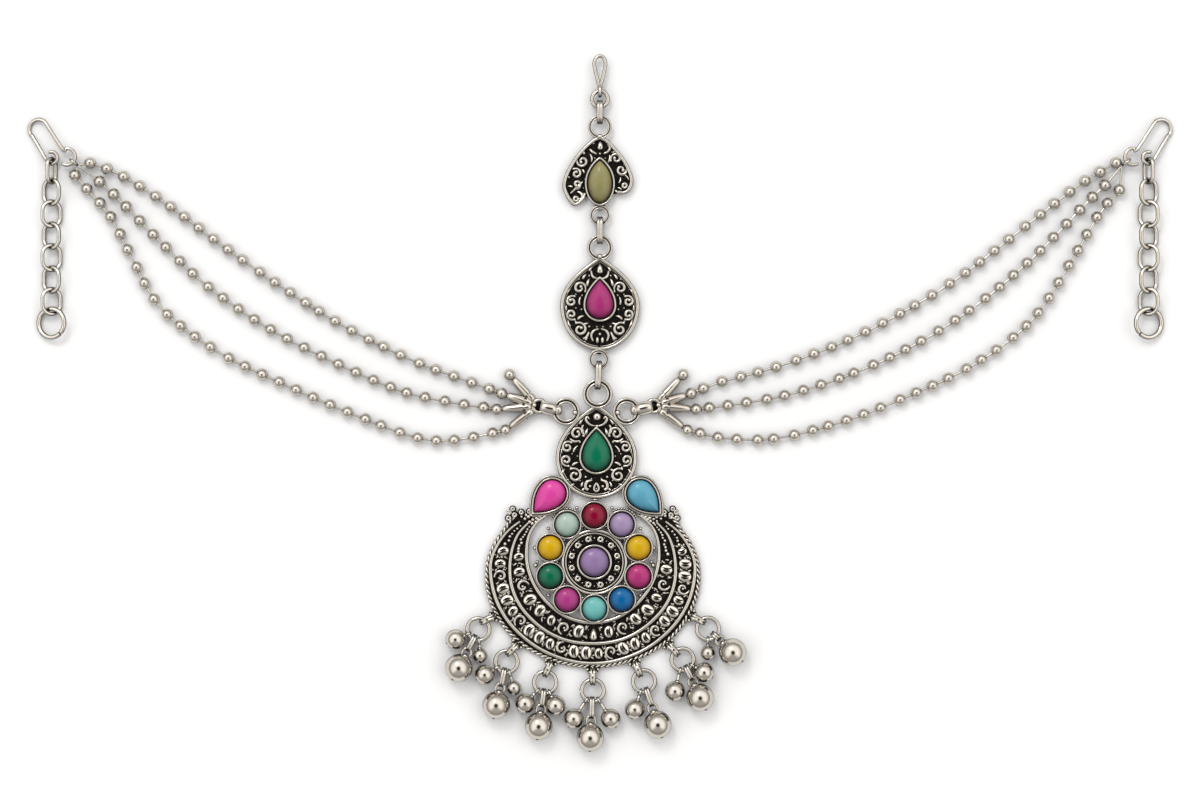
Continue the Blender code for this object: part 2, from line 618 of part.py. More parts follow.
def main_frame(collection, hidden):
    """The big lower pendant's metal: rosette, crescent, teardrop, settings, rings and fringe eyes."""
    centre = main_centre()
    stone = (MAIN_STONE_HALF, MAIN_STONE_UPPER, MAIN_STONE_LOWER)
    parts = [disc(), plate(MAIN_HALF_WIDTH, MAIN_UPPER, MAIN_LOWER, stone, centre)]
    parts += [round_bezel(i) for i in range(ROUND_STONE_COUNT)]
    side_stone = (SIDE_STONE_HALF, SIDE_STONE_UPPER, SIDE_STONE_LOWER)
    for side in (-1, 1):
        parts.append(pear_bezel(side_stone, SIDE_SETTING_WALL, side_place(side), -side * SIDE_STONE_TURN))
        shoulder = Vector((*shoulder_place(side), EYE_Z))
        parts.append(moved(ring(SHOULDER_RING_RADIUS, SHOULDER_RING_WIRE), shoulder))
    parts.append(moved(ring(MAIN_RING_RADIUS, MAIN_RING_WIRE), main_ring_place()))
    nub = rosette_radius() + bezel_radius()
    low, high = nub - SOLDER_LAP, nub + NUB_LENGTH + SOLDER_LAP
    parts.append(rod((0, low, GROUND_HEIGHT), (0, high, GROUND_HEIGHT), NUB_RADIUS, NUB_RADIUS, 8))
    for along_edge, _, _ in FRINGE_GROUPS:
        angle = fringe_angle(along_edge)
        eye = ring(FRINGE_EYE_RADIUS, FRINGE_EYE_WIRE, stretch=FRINGE_EYE_DRAW)
        parts.append(moved(eye, fringe_eye(angle), angle - 90, upright=True))
    return soldered("main_pendant_frame", crescent(), parts, collection, hidden)


def main_ring_place():
    """The ring soldered on the main teardrop's tip."""
    x, y = main_centre()
    return Vector((x + MAIN_RING_SHIFT, y + MAIN_UPPER + MAIN_RING_RADIUS - MAIN_RING_WIRE, EYE_Z))


def mid_eye_place():
    """The eye under the middle pendant, one link above the main ring."""
    ring_at = main_ring_place()
    inner = LOWER_LINK_LENGTH - 2 * LINK_WIRE
    low = ring_at.y + MAIN_RING_RADIUS - MAIN_RING_WIRE - FIT_GAP
    return Vector((MID_X + MID_EYE_SHIFT, low + inner - FIT_GAP + EYE_RADIUS - EYE_WIRE, EYE_Z))


def mid_centre():
    return MID_X, mid_eye_place().y + EYE_RADIUS - SOLDER_LAP + MID_LOWER


def mid_ring_place():
    x, y = mid_centre()
    return Vector((x, y + MID_UPPER + MID_RING_RADIUS - MID_RING_WIRE, EYE_Z))


def top_eye_place():
    """The eye under the top pendant, one link above the middle pendant's ring."""
    ring_at = mid_ring_place()
    inner = UPPER_LINK_LENGTH - 2 * LINK_WIRE
    low = ring_at.y + MID_RING_RADIUS - MID_RING_WIRE - FIT_GAP
    return Vector((TOP_X, low + inner - FIT_GAP + EYE_RADIUS - EYE_WIRE, EYE_Z))


def top_centre():
    """The middle of the marquise stone."""
    return TOP_X, top_eye_place().y + EYE_RADIUS + TOP_STONE_LOWER + FIT_GAP + BEZEL_WALL - SOLDER_LAP / 2


def top_ring_place():
    """The eye soldered on the tip of the top pendant's cap."""
    x, y = top_centre()
    tip = max(share for _, share in CAP_SECTIONS) * CAP_WIDTH
    return Vector((x, y + tip + TOP_EYE_RADIUS - TOP_EYE_WIRE, EYE_Z))


def hook_ring_place():
    ring_at = top_ring_place()
    inner = TOP_LINK_LENGTH - 2 * LINK_WIRE
    low = ring_at.y + TOP_EYE_RADIUS - TOP_EYE_WIRE - FIT_GAP
    return Vector((TOP_X, low + inner - FIT_GAP + HOOK_RING_RADIUS - HOOK_RING_WIRE, EYE_Z))


def mid_frame(collection, hidden):
    stone = (MID_STONE_HALF, MID_STONE_UPPER, MID_STONE_LOWER)
    parts = [
        moved(ring(MID_RING_RADIUS, MID_RING_WIRE), mid_ring_place()),
        moved(ring(EYE_RADIUS, EYE_WIRE), mid_eye_place()),
    ]
    body = plate(MID_HALF_WIDTH, MID_UPPER, MID_LOWER, stone, mid_centre())
    return soldered("mid_pendant_frame", body, parts, collection, hidden)


def cap():
    """The leaf-shaped cap: sections that fan out from the bezel, each rim, ground and boss."""
    x0, y0 = top_centre()
    inner = TOP_STONE_HALF + FIT_GAP
    loops = []
    for i, (angle, share) in enumerate(CAP_SECTIONS):
        reach = CAP_WIDTH * share
        upward = max(cos(radians(angle)), 0.0)
        root = inner + BEZEL_WALL / 2 + (TOP_STONE_UPPER - TOP_STONE_HALF) * upward ** 2
        raised = GROUND_HEIGHT + (RELIEF_HEIGHT if i % 2 else 0.0)
        rim = min(PENDANT_RIM, (reach - root) * 0.3)
        profile = (
            (root, SETTING_LIFT / 2), (reach, SETTING_LIFT / 2), (reach, PENDANT_HEIGHT - rim / 3),
            (reach - rim / 2, PENDANT_HEIGHT), (reach - rim, GROUND_HEIGHT), ((reach + root) / 2, raised),
            (root, GROUND_HEIGHT),
        )
        c, s = cos(radians(angle)), sin(radians(angle))
        loops.append([(x0 + r * s, y0 + r * c, z) for r, z in profile])
    return loft(loops)


def top_frame(collection, hidden):
    stone = (TOP_STONE_HALF, TOP_STONE_UPPER, TOP_STONE_LOWER)
    parts = [
        cap(),
        moved(ring(TOP_EYE_RADIUS, TOP_EYE_WIRE), top_ring_place()),
        moved(ring(EYE_RADIUS, EYE_WIRE), top_eye_place()),
    ]
    body = pear_bezel(stone, BEZEL_WALL, top_centre(), point_share=MARQUISE_SHARE, lift=0.0)
    return soldered("top_pendant_frame", body, parts, collection, hidden)


def column_link(name, low_ring, low_size, high_ring, high_size, collection):
    """The upright link that joins two flat rings of the column, each size an outer radius and a wire."""
    along = (high_ring - low_ring).normalized()
    start = low_ring + along * (low_size[0] - low_size[1] - FIT_GAP)
    end = high_ring - along * (high_size[0] - high_size[1] - FIT_GAP)
    return upright_link(name, start, end, UPRIGHT_INNER, LINK_WIRE, LINK_BREADTH, collection)


def connector(side, name, collection):
    at = Vector((*shoulder_place(side), EYE_Z))
    line = connector_line(side)
    start = at + line * (SHOULDER_RING_RADIUS - SHOULDER_RING_WIRE - FIT_GAP)
    end = start + line * (CONNECTOR_LENGTH - 2 * LINK_WIRE)
    return upright_link(
        name, start, end, UPRIGHT_INNER, LINK_WIRE, CONNECTOR_BREADTH, collection, CONNECTOR_END)


def wire_mesh(points, wire, cyclic=False):
    """A round wire along points, made a welded mesh."""
    curve = bpy.data.curves.new("wire", "CURVE")
    curve.dimensions = "3D"
    curve.bevel_depth = wire / 2
    curve.bevel_resolution = 1
    curve.use_fill_caps = not cyclic
    spline = curve.splines.new("POLY")
    spline.points.add(len(points) - 1)
    spline.use_cyclic_u = cyclic
    for target, point in zip(spline.points, points):
        target.co = (*point, 1.0)
    holder = bpy.data.objects.new("wire", curve)
    bpy.context.scene.collection.objects.link(holder)
    bpy.context.view_layer.update()
    graph = bpy.context.evaluated_depsgraph_get()
    data = bpy.data.meshes.new_from_object(holder.evaluated_get(graph))
    mesh = bmesh.new()
    mesh.from_mesh(data)
    bmesh.ops.remove_doubles(mesh, verts=mesh.verts, dist=0.00001)
    bpy.data.objects.remove(holder, do_unlink=True)
    bpy.data.meshes.remove(data)
    return mesh


def top_hook(collection, hidden):
    """The long loop at the top, its legs meeting at an upright eye round the hook ring."""
    ring_at = hook_ring_place()
    eye_radius = HOOK_RING_WIRE / 2 + FIT_GAP + HOOK_WIRE
    eye = ring_at + Vector((0, HOOK_RING_RADIUS - HOOK_RING_WIRE / 2, 0))
    low = eye.y + eye_radius - HOOK_WIRE
    radius = TOP_HOOK_HALF_WIDTH + HOOK_WIRE / 2
    mesh = ring(radius, HOOK_WIRE, steps=14, sides=6, stretch=TOP_HOOK_LENGTH - 2 * radius)
    for point in mesh.verts:
        share = min(point.co.x / TOP_HOOK_LENGTH + 0.5, HOOK_WIDEST)
        point.co.y *= HOOK_NECK + (1 - HOOK_NECK) * share / HOOK_WIDEST
    moved(mesh, (eye.x, low + TOP_HOOK_LENGTH / 2, eye.z), 90)
    joined = moved(ring(eye_radius, HOOK_WIRE), eye, 90, upright=True)
    return soldered("top_hook", mesh, [joined], collection, hidden)


def arc(centre, radius, first, last, steps):
    """Points round an arc between two angles in degrees."""
    turns = [radians(first + (last - first) * i / steps) for i in range(steps + 1)]
    return [(centre[0] + radius * cos(t), centre[1] + radius * sin(t)) for t in turns]


def chain_eye_centre():
    return HOOK_EYE_X - CHAIN_EYE_SPACING, HOOK_EYE_Y - CHAIN_EYE_DROP


def hook_route():
    """The left hook's wire: chain eye, leg, far loop, leg and gather eye."""
    loop = (
        HOOK_EYE_X + HOOK_LOOP_REACH * cos(radians(HOOK_LOOP_ANGLE)),
        HOOK_EYE_Y + HOOK_LOOP_REACH * sin(radians(HOOK_LOOP_ANGLE)),
    )
    legs = HOOK_LOOP_ANGLE + 90
    far_bend = [legs + bend for bend in HOOK_LOOP_BEND]
    route = arc(chain_eye_centre(), CHAIN_EYE_RADIUS, *CHAIN_EYE_BEND, 6)
    route += arc(loop, HOOK_LOOP_RADIUS, *far_bend, 7)
    route += arc((HOOK_EYE_X, HOOK_EYE_Y), GATHER_EYE_RADIUS, *GATHER_EYE_BEND, 5)
    return route


def hook(side, name, collection):
    flat = hook_route()
    far = min(x for x, _ in flat)
    near = HOOK_EYE_X
    points = []
    for x, y in flat:
        share = min(max((near - CHAIN_EYE_SPACING - x) / (near - CHAIN_EYE_SPACING - far), 0.0), 1.0)
        z = CHAIN_Z + (HOOK_WIRE / 2 + FLOOR_GAP - CHAIN_Z) * share
        points.append((mirror_x(x, side), y, z))
    return place(wire_mesh(points, HOOK_WIRE), name, collection)


def mirror_x(x, side):
    """A left-hand place, or its mirror image on the right."""
    return x if side < 0 else 2 * SIDE_MIRROR_X - x


def gather_place(side):
    turn = radians(GATHER_ANGLE)
    out = GATHER_EYE_RADIUS + GATHER_RING_RADIUS - GATHER_RING_WIRE - HOOK_WIRE / 2 - FIT_GAP
    x, y = HOOK_EYE_X + out * cos(turn), HOOK_EYE_Y + out * sin(turn)
    return Vector((mirror_x(x, side), y, CHAIN_Z))


def gather_end(side):
    """The point of the gather ring that the strands meet."""
    turn = radians(GATHER_ANGLE)
    out = Vector((-side * cos(turn), sin(turn), 0.0))
    return gather_place(side) + out * GATHER_RING_RADIUS


def gather_ring(side, name, collection):
    turn = GATHER_ANGLE if side < 0 else 180 - GATHER_ANGLE
    mesh = ring(GATHER_RING_RADIUS, GATHER_RING_WIRE, steps=10)
    return place(moved(mesh, gather_place(side), turn, upright=True), name, collection)


def chain_layout():
    """Length, width and middle height of each link of the left chain, from the top down."""
    x, y = chain_eye_centre()
    top = y - CHAIN_EYE_RADIUS + HOOK_WIRE / 2 + FIT_GAP + CHAIN_WIRE
    sizes = [(FIRST_LINK_LENGTH, FIRST_LINK_WIDTH)]
    sizes += [(CHAIN_LINK_LENGTH, CHAIN_LINK_WIDTH)] * CHAIN_LINK_COUNT
    links = []
    for length, width in sizes:
        links.append((x, top - length / 2, length, width))
        top += -length + 2 * CHAIN_WIRE - LINK_TOUCH
    return links


def chain(side, name, collection, hidden):
    """Interlocking links, tilted by turns, that touch and are fused."""
    meshes = []
    for i, (x, y, length, width) in enumerate(chain_layout()):
        mesh = ring(width / 2, CHAIN_WIRE, steps=10, stretch=length - width)
        tilt = CHAIN_TILT if i % 2 else -(CHAIN_TILT if i else FIRST_LINK_TILT)
        moved(mesh, (0, 0, 0), 90)
        meshes.append(moved(mesh, (mirror_x(x, side), y, CHAIN_Z), 0.0, side * tilt))
    return soldered(name, meshes[0], meshes[1:], collection, hidden)


def end_ring(side, name, collection):
    x, y, length, _ = chain_layout()[-1]
    inner = y - length / 2 + CHAIN_WIRE
    at = Vector((mirror_x(x, side), inner + FIT_GAP + END_RING_WIRE - END_RING_RADIUS, CHAIN_Z))
    tilt = END_RING_TILT if CHAIN_LINK_COUNT % 2 else -END_RING_TILT
    mesh = ring(END_RING_RADIUS, END_RING_WIRE, steps=12)
    return place(moved(mesh, at, 0.0, -side * tilt), name, collection)


def strand(name, collection):
    """A string of beads as one tube along its route, drawn thin where it meets the gather ring."""
    side = -1 if name.startswith("left") else 1
    bar = {"upper": 1, "middle": 2, "lower": 3}[name.split("_")[-1]]
    route = [Vector((x * MM, y * MM, BEAD_RADIUS + FLOOR_GAP)) for x, y in STRAND_ROUTES[name]]
    bead = fan_beads(side)[bar]
    to_route = (route[0] - bead)
    to_route.z = 0.0
    start = bead + to_route.normalized() * (FAN_BEAD_RADIUS + FIT_GAP)
    start.z = BEAD_RADIUS + FLOOR_GAP
    gather = gather_end(side)
    end = gather + (route[-1] - gather).normalized() * LEAD_LENGTH
    if (route[0] - start).length < BEAD_RADIUS:
        route = route[1:]
    points = through([start] + route, 6.0 * BEAD_RADIUS)
    radii = [1.0] * len(points)
    lead = points[-1] + (end - points[-1]) * 0.45
    points += [lead, end]
    radii += [0.45, LEAD_RADIUS / BEAD_RADIUS]
    curve = bpy.data.curves.new(name, "CURVE")
    curve.dimensions = "3D"
    curve.bevel_depth = BEAD_RADIUS
    curve.bevel_resolution = 2
    curve.use_fill_caps = True
    spline = curve.splines.new("POLY")
    spline.points.add(len(points) - 1)
    for target, point, radius in zip(spline.points, points, radii):
        target.co = (*point, 1.0)
        target.radius = radius
    curve.materials.append(silver())
    made = bpy.data.objects.new(name, curve)
    collection.objects.link(made)
    return made


def through(route, spacing):
    """Evenly spaced points on the smooth curve through a route."""
    ends = [2 * route[0] - route[1]] + route + [2 * route[-1] - route[-2]]
    fine = []
    for k in range(1, len(ends) - 2):
        for i in range(20):
            fine.append(smooth(ends[k - 1], ends[k], ends[k + 1], ends[k + 2], i / 20))
    fine.append(route[-1])
    length = sum((b - a).length for a, b in zip(fine, fine[1:]))
    step = length / ceil(length / spacing)
    points, walked = [fine[0]], 0.0
    for a, b in zip(fine, fine[1:]):
        walked += (b - a).length
        if walked >= step * 0.999:
            points.append(b)
            walked -= step
    points[-1] = route[-1]
    return points


def fringe_group(index, collection, hidden):
    """A jump ring with its small balls, and the big ball on its own link."""
    along_edge, hang, balls = FRINGE_GROUPS[index]
    angle = fringe_angle(along_edge)
    at = fringe_ring_place(angle, angle + hang)
    parts = []
    for size, direction, share in balls:
        turn = radians(angle + direction)
        along = Vector((sin(turn), -cos(turn), 0.0))
        reach = FRINGE_REACH * share
        radius = BALL_RADIUS[size]
        flat = at + along * reach
        middle = Vector((flat.x, flat.y, radius + FLOOR_GAP))
        if size == "big":
            drop(index, at, along, reach, middle, radius, collection, hidden)
            continue
        root = at + along * (FRINGE_RING_RADIUS - FRINGE_RING_WIRE / 2)
        parts.append(rod(root, middle, STALK_RADIUS, STALK_RADIUS))
        parts.append(moved(ball(radius, 10, 4), middle))
    body = moved(ring(FRINGE_RING_RADIUS, FRINGE_RING_WIRE), at)
    return soldered(f"fringe_ring_{index + 1}", body, parts, collection, hidden)


def drop(index, at, along, reach, middle, radius, collection, hidden):
    """The big ball and the upright link that carries it, passed round the jump ring."""
    start = at + along * (FRINGE_RING_RADIUS - FRINGE_RING_WIRE - FIT_GAP)
    height = middle.z - FRINGE_Z
    chord = sqrt(max(radius ** 2 - height ** 2, radius ** 2 / 4))
    end = at + along * (reach - chord - DROP_LINK_WIRE + SOLDER_LAP)
    span = (end - start).length
    outer = DROP_INNER / 2 + DROP_LINK_WIRE
    link = ring(outer, DROP_LINK_WIRE, steps=10, stretch=max(span - DROP_INNER, 0.1 * MM),
                breadth=DROP_LINK_BREADTH)
    moved(link, (start + end) / 2, degrees(atan2(along.y, along.x)), upright=True)
    body = moved(ball(radius, 10, 5), middle)
    return soldered(f"fringe_drop_{index + 1}", body, [link], collection, hidden)


def stones(collection):
    height = BEZEL_HEIGHT + FIT_GAP
    for i, colour in enumerate(ROSETTE_COLOURS):
        round_stone(
            f"stone_rosette_{i + 1:02d}", ROUND_STONE_RADIUS, rosette_place(i), height, colour, collection)
    round_stone("stone_centre", CENTRE_STONE_RADIUS, (0.0, 0.0), height, "violet_glass", collection)
    pear_stone("stone_main", MAIN_STONE_HALF, MAIN_STONE_UPPER, MAIN_STONE_LOWER, main_centre(), height,
               "emerald_glass", collection)
    pear_stone("stone_mid", MID_STONE_HALF, MID_STONE_UPPER, MID_STONE_LOWER, mid_centre(), height,
               "magenta_glass", collection)
    pear_stone("stone_top", TOP_STONE_HALF, TOP_STONE_UPPER, TOP_STONE_LOWER, top_centre(), height,
               "olive_glass", collection, point_share=MARQUISE_SHARE)
    side = (SIDE_STONE_HALF, SIDE_STONE_UPPER, SIDE_STONE_LOWER)
    pear_stone("stone_side_left", *side, side_place(-1), height, "pink_glass", collection, SIDE_STONE_TURN)
    pear_stone("stone_side_right", *side, side_place(1), height, "sky_glass", collection, -SIDE_STONE_TURN)


def main():
    clear_scene()
    jewel = new_collection("matha_patti")
    hidden = new_collection("soldered_pieces")
    main_frame(jewel, hidden)
    mid_frame(jewel, hidden)
    top_frame(jewel, hidden)
    stones(jewel)
    column_link("lower_link", main_ring_place(), (MAIN_RING_RADIUS, MAIN_RING_WIRE), mid_eye_place(),
                (EYE_RADIUS, EYE_WIRE), jewel)
    column_link("upper_link", mid_ring_place(), (MID_RING_RADIUS, MID_RING_WIRE), top_eye_place(),
                (EYE_RADIUS, EYE_WIRE), jewel)
    column_link("top_link", top_ring_place(), (TOP_EYE_RADIUS, TOP_EYE_WIRE), hook_ring_place(),
                (HOOK_RING_RADIUS, HOOK_RING_WIRE), jewel)
    place(moved(ring(HOOK_RING_RADIUS, HOOK_RING_WIRE), hook_ring_place()), "top_hook_ring", jewel)
    top_hook(jewel, hidden)
    for side, word in ((-1, "left"), (1, "right")):
        connector(side, word + "_connector", jewel)
        fan(side, word + "_fan", jewel, hidden)
        hook(side, word + "_hook", jewel)
        gather_ring(side, word + "_gather_ring", jewel)
        chain(side, word + "_extender", jewel, hidden)
        end_ring(side, word + "_end_ring", jewel)
    for name in STRAND_ROUTES:
        strand(name, jewel)
    for index in range(len(FRINGE_GROUPS)):
        fringe_group(index, jewel, hidden)


main()
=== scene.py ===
"""Looks of an oxidised silver matha patti: a head jewel laid flat on a white table.

Every length here is in millimetres and is turned to metres when a piece is finished.
X runs from the left hook to the right one, Y from the fringe to the top hook, Z up from the table.
"""

import logging
from collections.abc import Iterable, Sequence
from dataclasses import dataclass, field
from enum import Enum
from math import atan2, cos, degrees, pi, radians, sin, sqrt
from random import Random

import bmesh
import bpy
from mathutils import Matrix, Vector

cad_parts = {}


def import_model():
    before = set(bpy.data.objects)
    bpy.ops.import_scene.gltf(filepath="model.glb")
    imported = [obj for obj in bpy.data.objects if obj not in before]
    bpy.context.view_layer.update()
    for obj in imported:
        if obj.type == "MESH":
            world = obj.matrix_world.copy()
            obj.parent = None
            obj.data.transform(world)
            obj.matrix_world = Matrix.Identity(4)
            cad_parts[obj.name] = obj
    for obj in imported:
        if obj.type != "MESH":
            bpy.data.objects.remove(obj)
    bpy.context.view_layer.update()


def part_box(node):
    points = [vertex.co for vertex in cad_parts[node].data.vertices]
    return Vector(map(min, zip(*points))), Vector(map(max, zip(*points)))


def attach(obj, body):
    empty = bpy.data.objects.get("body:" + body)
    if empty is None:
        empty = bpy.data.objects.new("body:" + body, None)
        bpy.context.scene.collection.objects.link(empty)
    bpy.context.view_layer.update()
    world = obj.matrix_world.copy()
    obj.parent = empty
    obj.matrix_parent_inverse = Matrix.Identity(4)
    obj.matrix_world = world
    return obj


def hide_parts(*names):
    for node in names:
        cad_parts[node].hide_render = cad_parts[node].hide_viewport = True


MM = 0.001
# Heights in millimetres: the top of the dark ground, and the middle of the pendants' rings
GROUND_TOP = 1.5
RING_HEIGHT = 2.45
# Vertices in one lot of balls
BALL_LOT = 1500
LOG = logging.getLogger("matha_patti")
Flat = tuple[float, float]
Place = tuple[float, float, float]


# Finishes


def linear(code: str) -> tuple[float, float, float, float]:
    """A colour for a socket.

    Args:
        code: sRGB hex such as "#B8207A".

    Returns:
        Linear red, green, blue and an alpha of 1.
    """
    shares = [int(code[i:i + 2], 16) / 255 for i in (1, 3, 5)]
    red, green, blue = (s / 12.92 if s <= 0.04045 else ((s + 0.055) / 1.055) ** 2.4 for s in shares)
    return red, green, blue, 1.0


def settle(tree: bpy.types.NodeTree, node: bpy.types.Node, settings: dict | None = None,
           links: dict | None = None) -> None:
    """Gives a node its settings and links.

    Args:
        tree: The node tree.
        node: The node.
        settings: Values by property name, input name or input number.
        links: Sockets, or nodes that are read at their first output, by the input that they feed.
    """
    for key, value in (settings or {}).items():
        if isinstance(key, str) and hasattr(node, key):
            setattr(node, key, value)
        else:
            node.inputs[key].default_value = value
    for key, source in (links or {}).items():
        socket = source.outputs[0] if isinstance(source, bpy.types.Node) else source
        tree.links.new(socket, node.inputs[key])


def add_node(tree: bpy.types.NodeTree, kind: str, settings: dict | None = None,
             links: dict | None = None) -> bpy.types.Node:
    """Adds a node to a tree.

    Args:
        tree: The node tree.
        kind: The node's type name, without ShaderNode before it.
        settings: Its settings, as settle takes them.
        links: Its links, as settle takes them.

    Returns:
        The new node.
    """
    made = tree.nodes.new("ShaderNode" + kind)
    settle(tree, made, settings, links)
    return made


def ramp(low: float, high: float, first: float = 0.0, last: float = 1.0) -> dict:
    """Settings of a map range that eases from first at low to last at high."""
    return {"interpolation_type": "SMOOTHSTEP", "From Min": low, "From Max": high, "To Min": first,
            "To Max": last}


def blend(dark: str, light: str) -> dict:
    """Settings of a mix node between two colours."""
    return {"data_type": "RGBA", 6: linear(dark), 7: linear(light)}


def new_material(name: str) -> tuple[bpy.types.Material, bpy.types.NodeTree, bpy.types.Node,
                                     bpy.types.Node]:
    """An empty material.

    Args:
        name: What the real material is.

    Returns:
        The material, its node tree, its Principled shader and its coordinates.
    """
    made = bpy.data.materials.new(name)
    made.use_nodes = True
    tree = made.node_tree
    return made, tree, tree.nodes["Principled BSDF"], add_node(tree, "TexCoord")


@dataclass(frozen=True)
class SilverFinish:
    """Cast white metal, blackened and then cleaned bright with a cloth on its high faces.

    Faces that look up are warm and bright and the flanks dark: partly the patina left where the cloth didn't
    reach, partly painted light on the tops and painted shade on the flanks.
    """

    name: str
    bright: str = "#DCD5CA"
    dark: str = "#221D17"
    flank: Flat = (0.30, 0.92)
    roughness: float = 0.18
    grain: float = 0.35
    bump: float = 0.10
    uneven: float = 0.42
    dulling: float = 0.22

    def make(self) -> bpy.types.Material:
        """Makes the material, its dark share, patina and painted shade, read from which way each face looks.

        Returns:
            The material.
        """
        made, tree, shader, where = new_material(self.name)
        place = {"Vector": where.outputs["Object"]}
        axes = add_node(tree, "SeparateXYZ", links={"Vector": where.outputs["Normal"]})
        # Grain in cast and tumbled metal is a few tenths of a millimetre
        cloud = add_node(tree, "TexNoise", {"Scale": 1 / (self.grain * 4 * MM), "Detail": 4.0}, place)
        uneven = add_node(
            tree, "Math", {"operation": "MULTIPLY_ADD", 1: self.uneven, 2: -self.uneven / 2}, {0: cloud})
        facing = add_node(tree, "Math", {"operation": "ADD"}, {0: axes.outputs["Z"], 1: uneven})
        # Painted light and shade: faces that look up are painted bright and lit, the flanks dark with patina
        # and painted shade
        rubbed_and_lit = add_node(tree, "MapRange", ramp(*self.flank), {"Value": facing})
        tint = add_node(tree, "Mix", blend(self.dark, self.bright), {0: rubbed_and_lit})
        dull = add_node(
            tree, "MapRange", {"To Min": self.roughness + self.dulling, "To Max": self.roughness},
            {"Value": rubbed_and_lit})
        fine = add_node(tree, "TexNoise", {"Scale": 1 / (self.grain * MM), "Detail": 3.0}, place)
        relief = add_node(tree, "Bump", {"Strength": self.bump, "Distance": 0.05 * MM}, {"Height": fine})
        settle(tree, shader, {"Metallic": 1.0},
               {"Base Color": tint.outputs[2], "Roughness": dull, "Normal": relief})
        return made


@dataclass(frozen=True)
class OxideFinish:
    """Silver sulphide left in the recesses: near-black with a brown cast, matt and pitted. A few dark pieces
    in it are painted shade.
    """

    name: str = "oxidised_silver_ground_and_shade"
    dark: str = "#120F0C"
    worn: str = "#4A443B"
    pit: float = 0.45
    specks: Flat = (0.56, 0.74)
    metallic: float = 0.85
    roughness: float = 0.52

    def make(self) -> bpy.types.Material:
        """Makes the material, with worn specks and pits of about half a millimetre.

        Returns:
            The material.
        """
        made, tree, shader, where = new_material(self.name)
        place = {"Vector": where.outputs["Object"]}
        pits = add_node(tree, "TexVoronoi", {"Scale": 1 / (self.pit * 1.6 * MM)}, place)
        cloud = add_node(tree, "TexNoise", {"Scale": 1 / (self.pit * MM), "Detail": 5.0}, place)
        speck = add_node(
            tree, "MapRange", {"From Min": self.specks[0], "From Max": self.specks[1]}, {"Value": cloud})
        tint = add_node(tree, "Mix", blend(self.dark, self.worn), {0: speck})
        relief = add_node(tree, "Bump", {"Strength": 0.5, "Distance": 0.15 * MM}, {"Height": pits})
        settle(tree, shader, {"Metallic": self.metallic, "Roughness": self.roughness},
               {"Base Color": tint.outputs[2], "Normal": relief})
        return made


@dataclass(frozen=True)
class GlassFinish:
    """Fire-polished glass cabochon over foil: a deep rim painted as shade and a middle painted lit, under a
    clear gloss.
    """

    name: str
    deep: str
    light: str
    facing: float = 0.94
    upward: float = 0.34
    melt: float = 2.2
    cloudiness: float = 0.22
    lit: Flat = (0.35, 1.34)
    roughness: float = 0.17
    ior: float = 1.46
    specular: float = 0.26
    coat: Flat = (0.14, 0.09)

    def make(self) -> bpy.types.Material:
        """Makes the material, its painted light in the middle and painted shade at the rim read from which
        way the dome faces.

        Returns:
            The material.
        """
        made, tree, shader, where = new_material(self.name)
        axes = add_node(tree, "SeparateXYZ", links={"Vector": where.outputs["Normal"]})
        # Painted light: the middle is painted lit, most of it a little above the centre, and the rim is
        # painted deep as shade
        upward = add_node(
            tree, "Math", {"operation": "MULTIPLY", 1: self.upward}, {0: axes.outputs["Y"]})
        middle = add_node(
            tree, "Math", {"operation": "MULTIPLY_ADD", 1: self.facing},
            {0: axes.outputs["Z"], 2: upward})
        # Faint clouds in the melt, about two millimetres across
        cloud = add_node(
            tree, "TexNoise", {"Scale": 1 / (self.melt * MM), "Detail": 2.0},
            {"Vector": where.outputs["Object"]})
        cloudy = add_node(
            tree, "Math", {"operation": "MULTIPLY_ADD", 1: self.cloudiness}, {0: cloud, 2: middle})
        lit = add_node(tree, "MapRange", ramp(*self.lit), {"Value": cloudy})
        tint = add_node(tree, "Mix", blend(self.deep, self.light), {0: lit})
        settle(tree, shader, {
            "Roughness": self.roughness, "IOR": self.ior, "Specular IOR Level": self.specular,
            "Coat Weight": self.coat[0], "Coat Roughness": self.coat[1],
        }, {"Base Color": tint.outputs[2]})
        return made


@dataclass(frozen=True)
class TableFinish:
    """Matt white card under the jewel."""

    name: str = "white_card"
    tone: str = "#FBFBFB"
    tooth: float = 0.5
    roughness: float = 0.8
    specular: float = 0.2

    def make(self) -> bpy.types.Material:
        """Makes the material, with a faint tooth of half a millimetre.

        Returns:
            The material.
        """
        made, tree, shader, where = new_material(self.name)
        tooth = add_node(
            tree, "TexNoise", {"Scale": 1 / (self.tooth * MM)}, {"Vector": where.outputs["Object"]})
        relief = add_node(tree, "Bump", {"Strength": 0.05, "Distance": 0.02 * MM}, {"Height": tooth})
        settle(tree, shader, {
            "Base Color": linear(self.tone), "Roughness": self.roughness,
            "Specular IOR Level": self.specular,
        }, {"Normal": relief})
        return made


class Part(Enum):
    """Which finish of a metal piece a face takes."""

    GROUND = 0
    RELIEF = 1
    POLISHED = 2


class Metals:
    """The three finishes that every metal piece carries, made once."""

    def __init__(self) -> None:
        """Makes the finishes."""
        self.slots = [
            OxideFinish().make(),
            SilverFinish("oxidised_and_shaded_silver_relief").make(),
            # Balls, beads and links are tumbled, so little black is left on them; their flanks are still
            # painted darker, as shade
            SilverFinish("polished_silver", bright="#CBC4BA", dark="#3A342D", flank=(-0.02, 0.50),
                         roughness=0.13, grain=0.5, bump=0.05).make(),
        ]


# Paths in the plane of the table


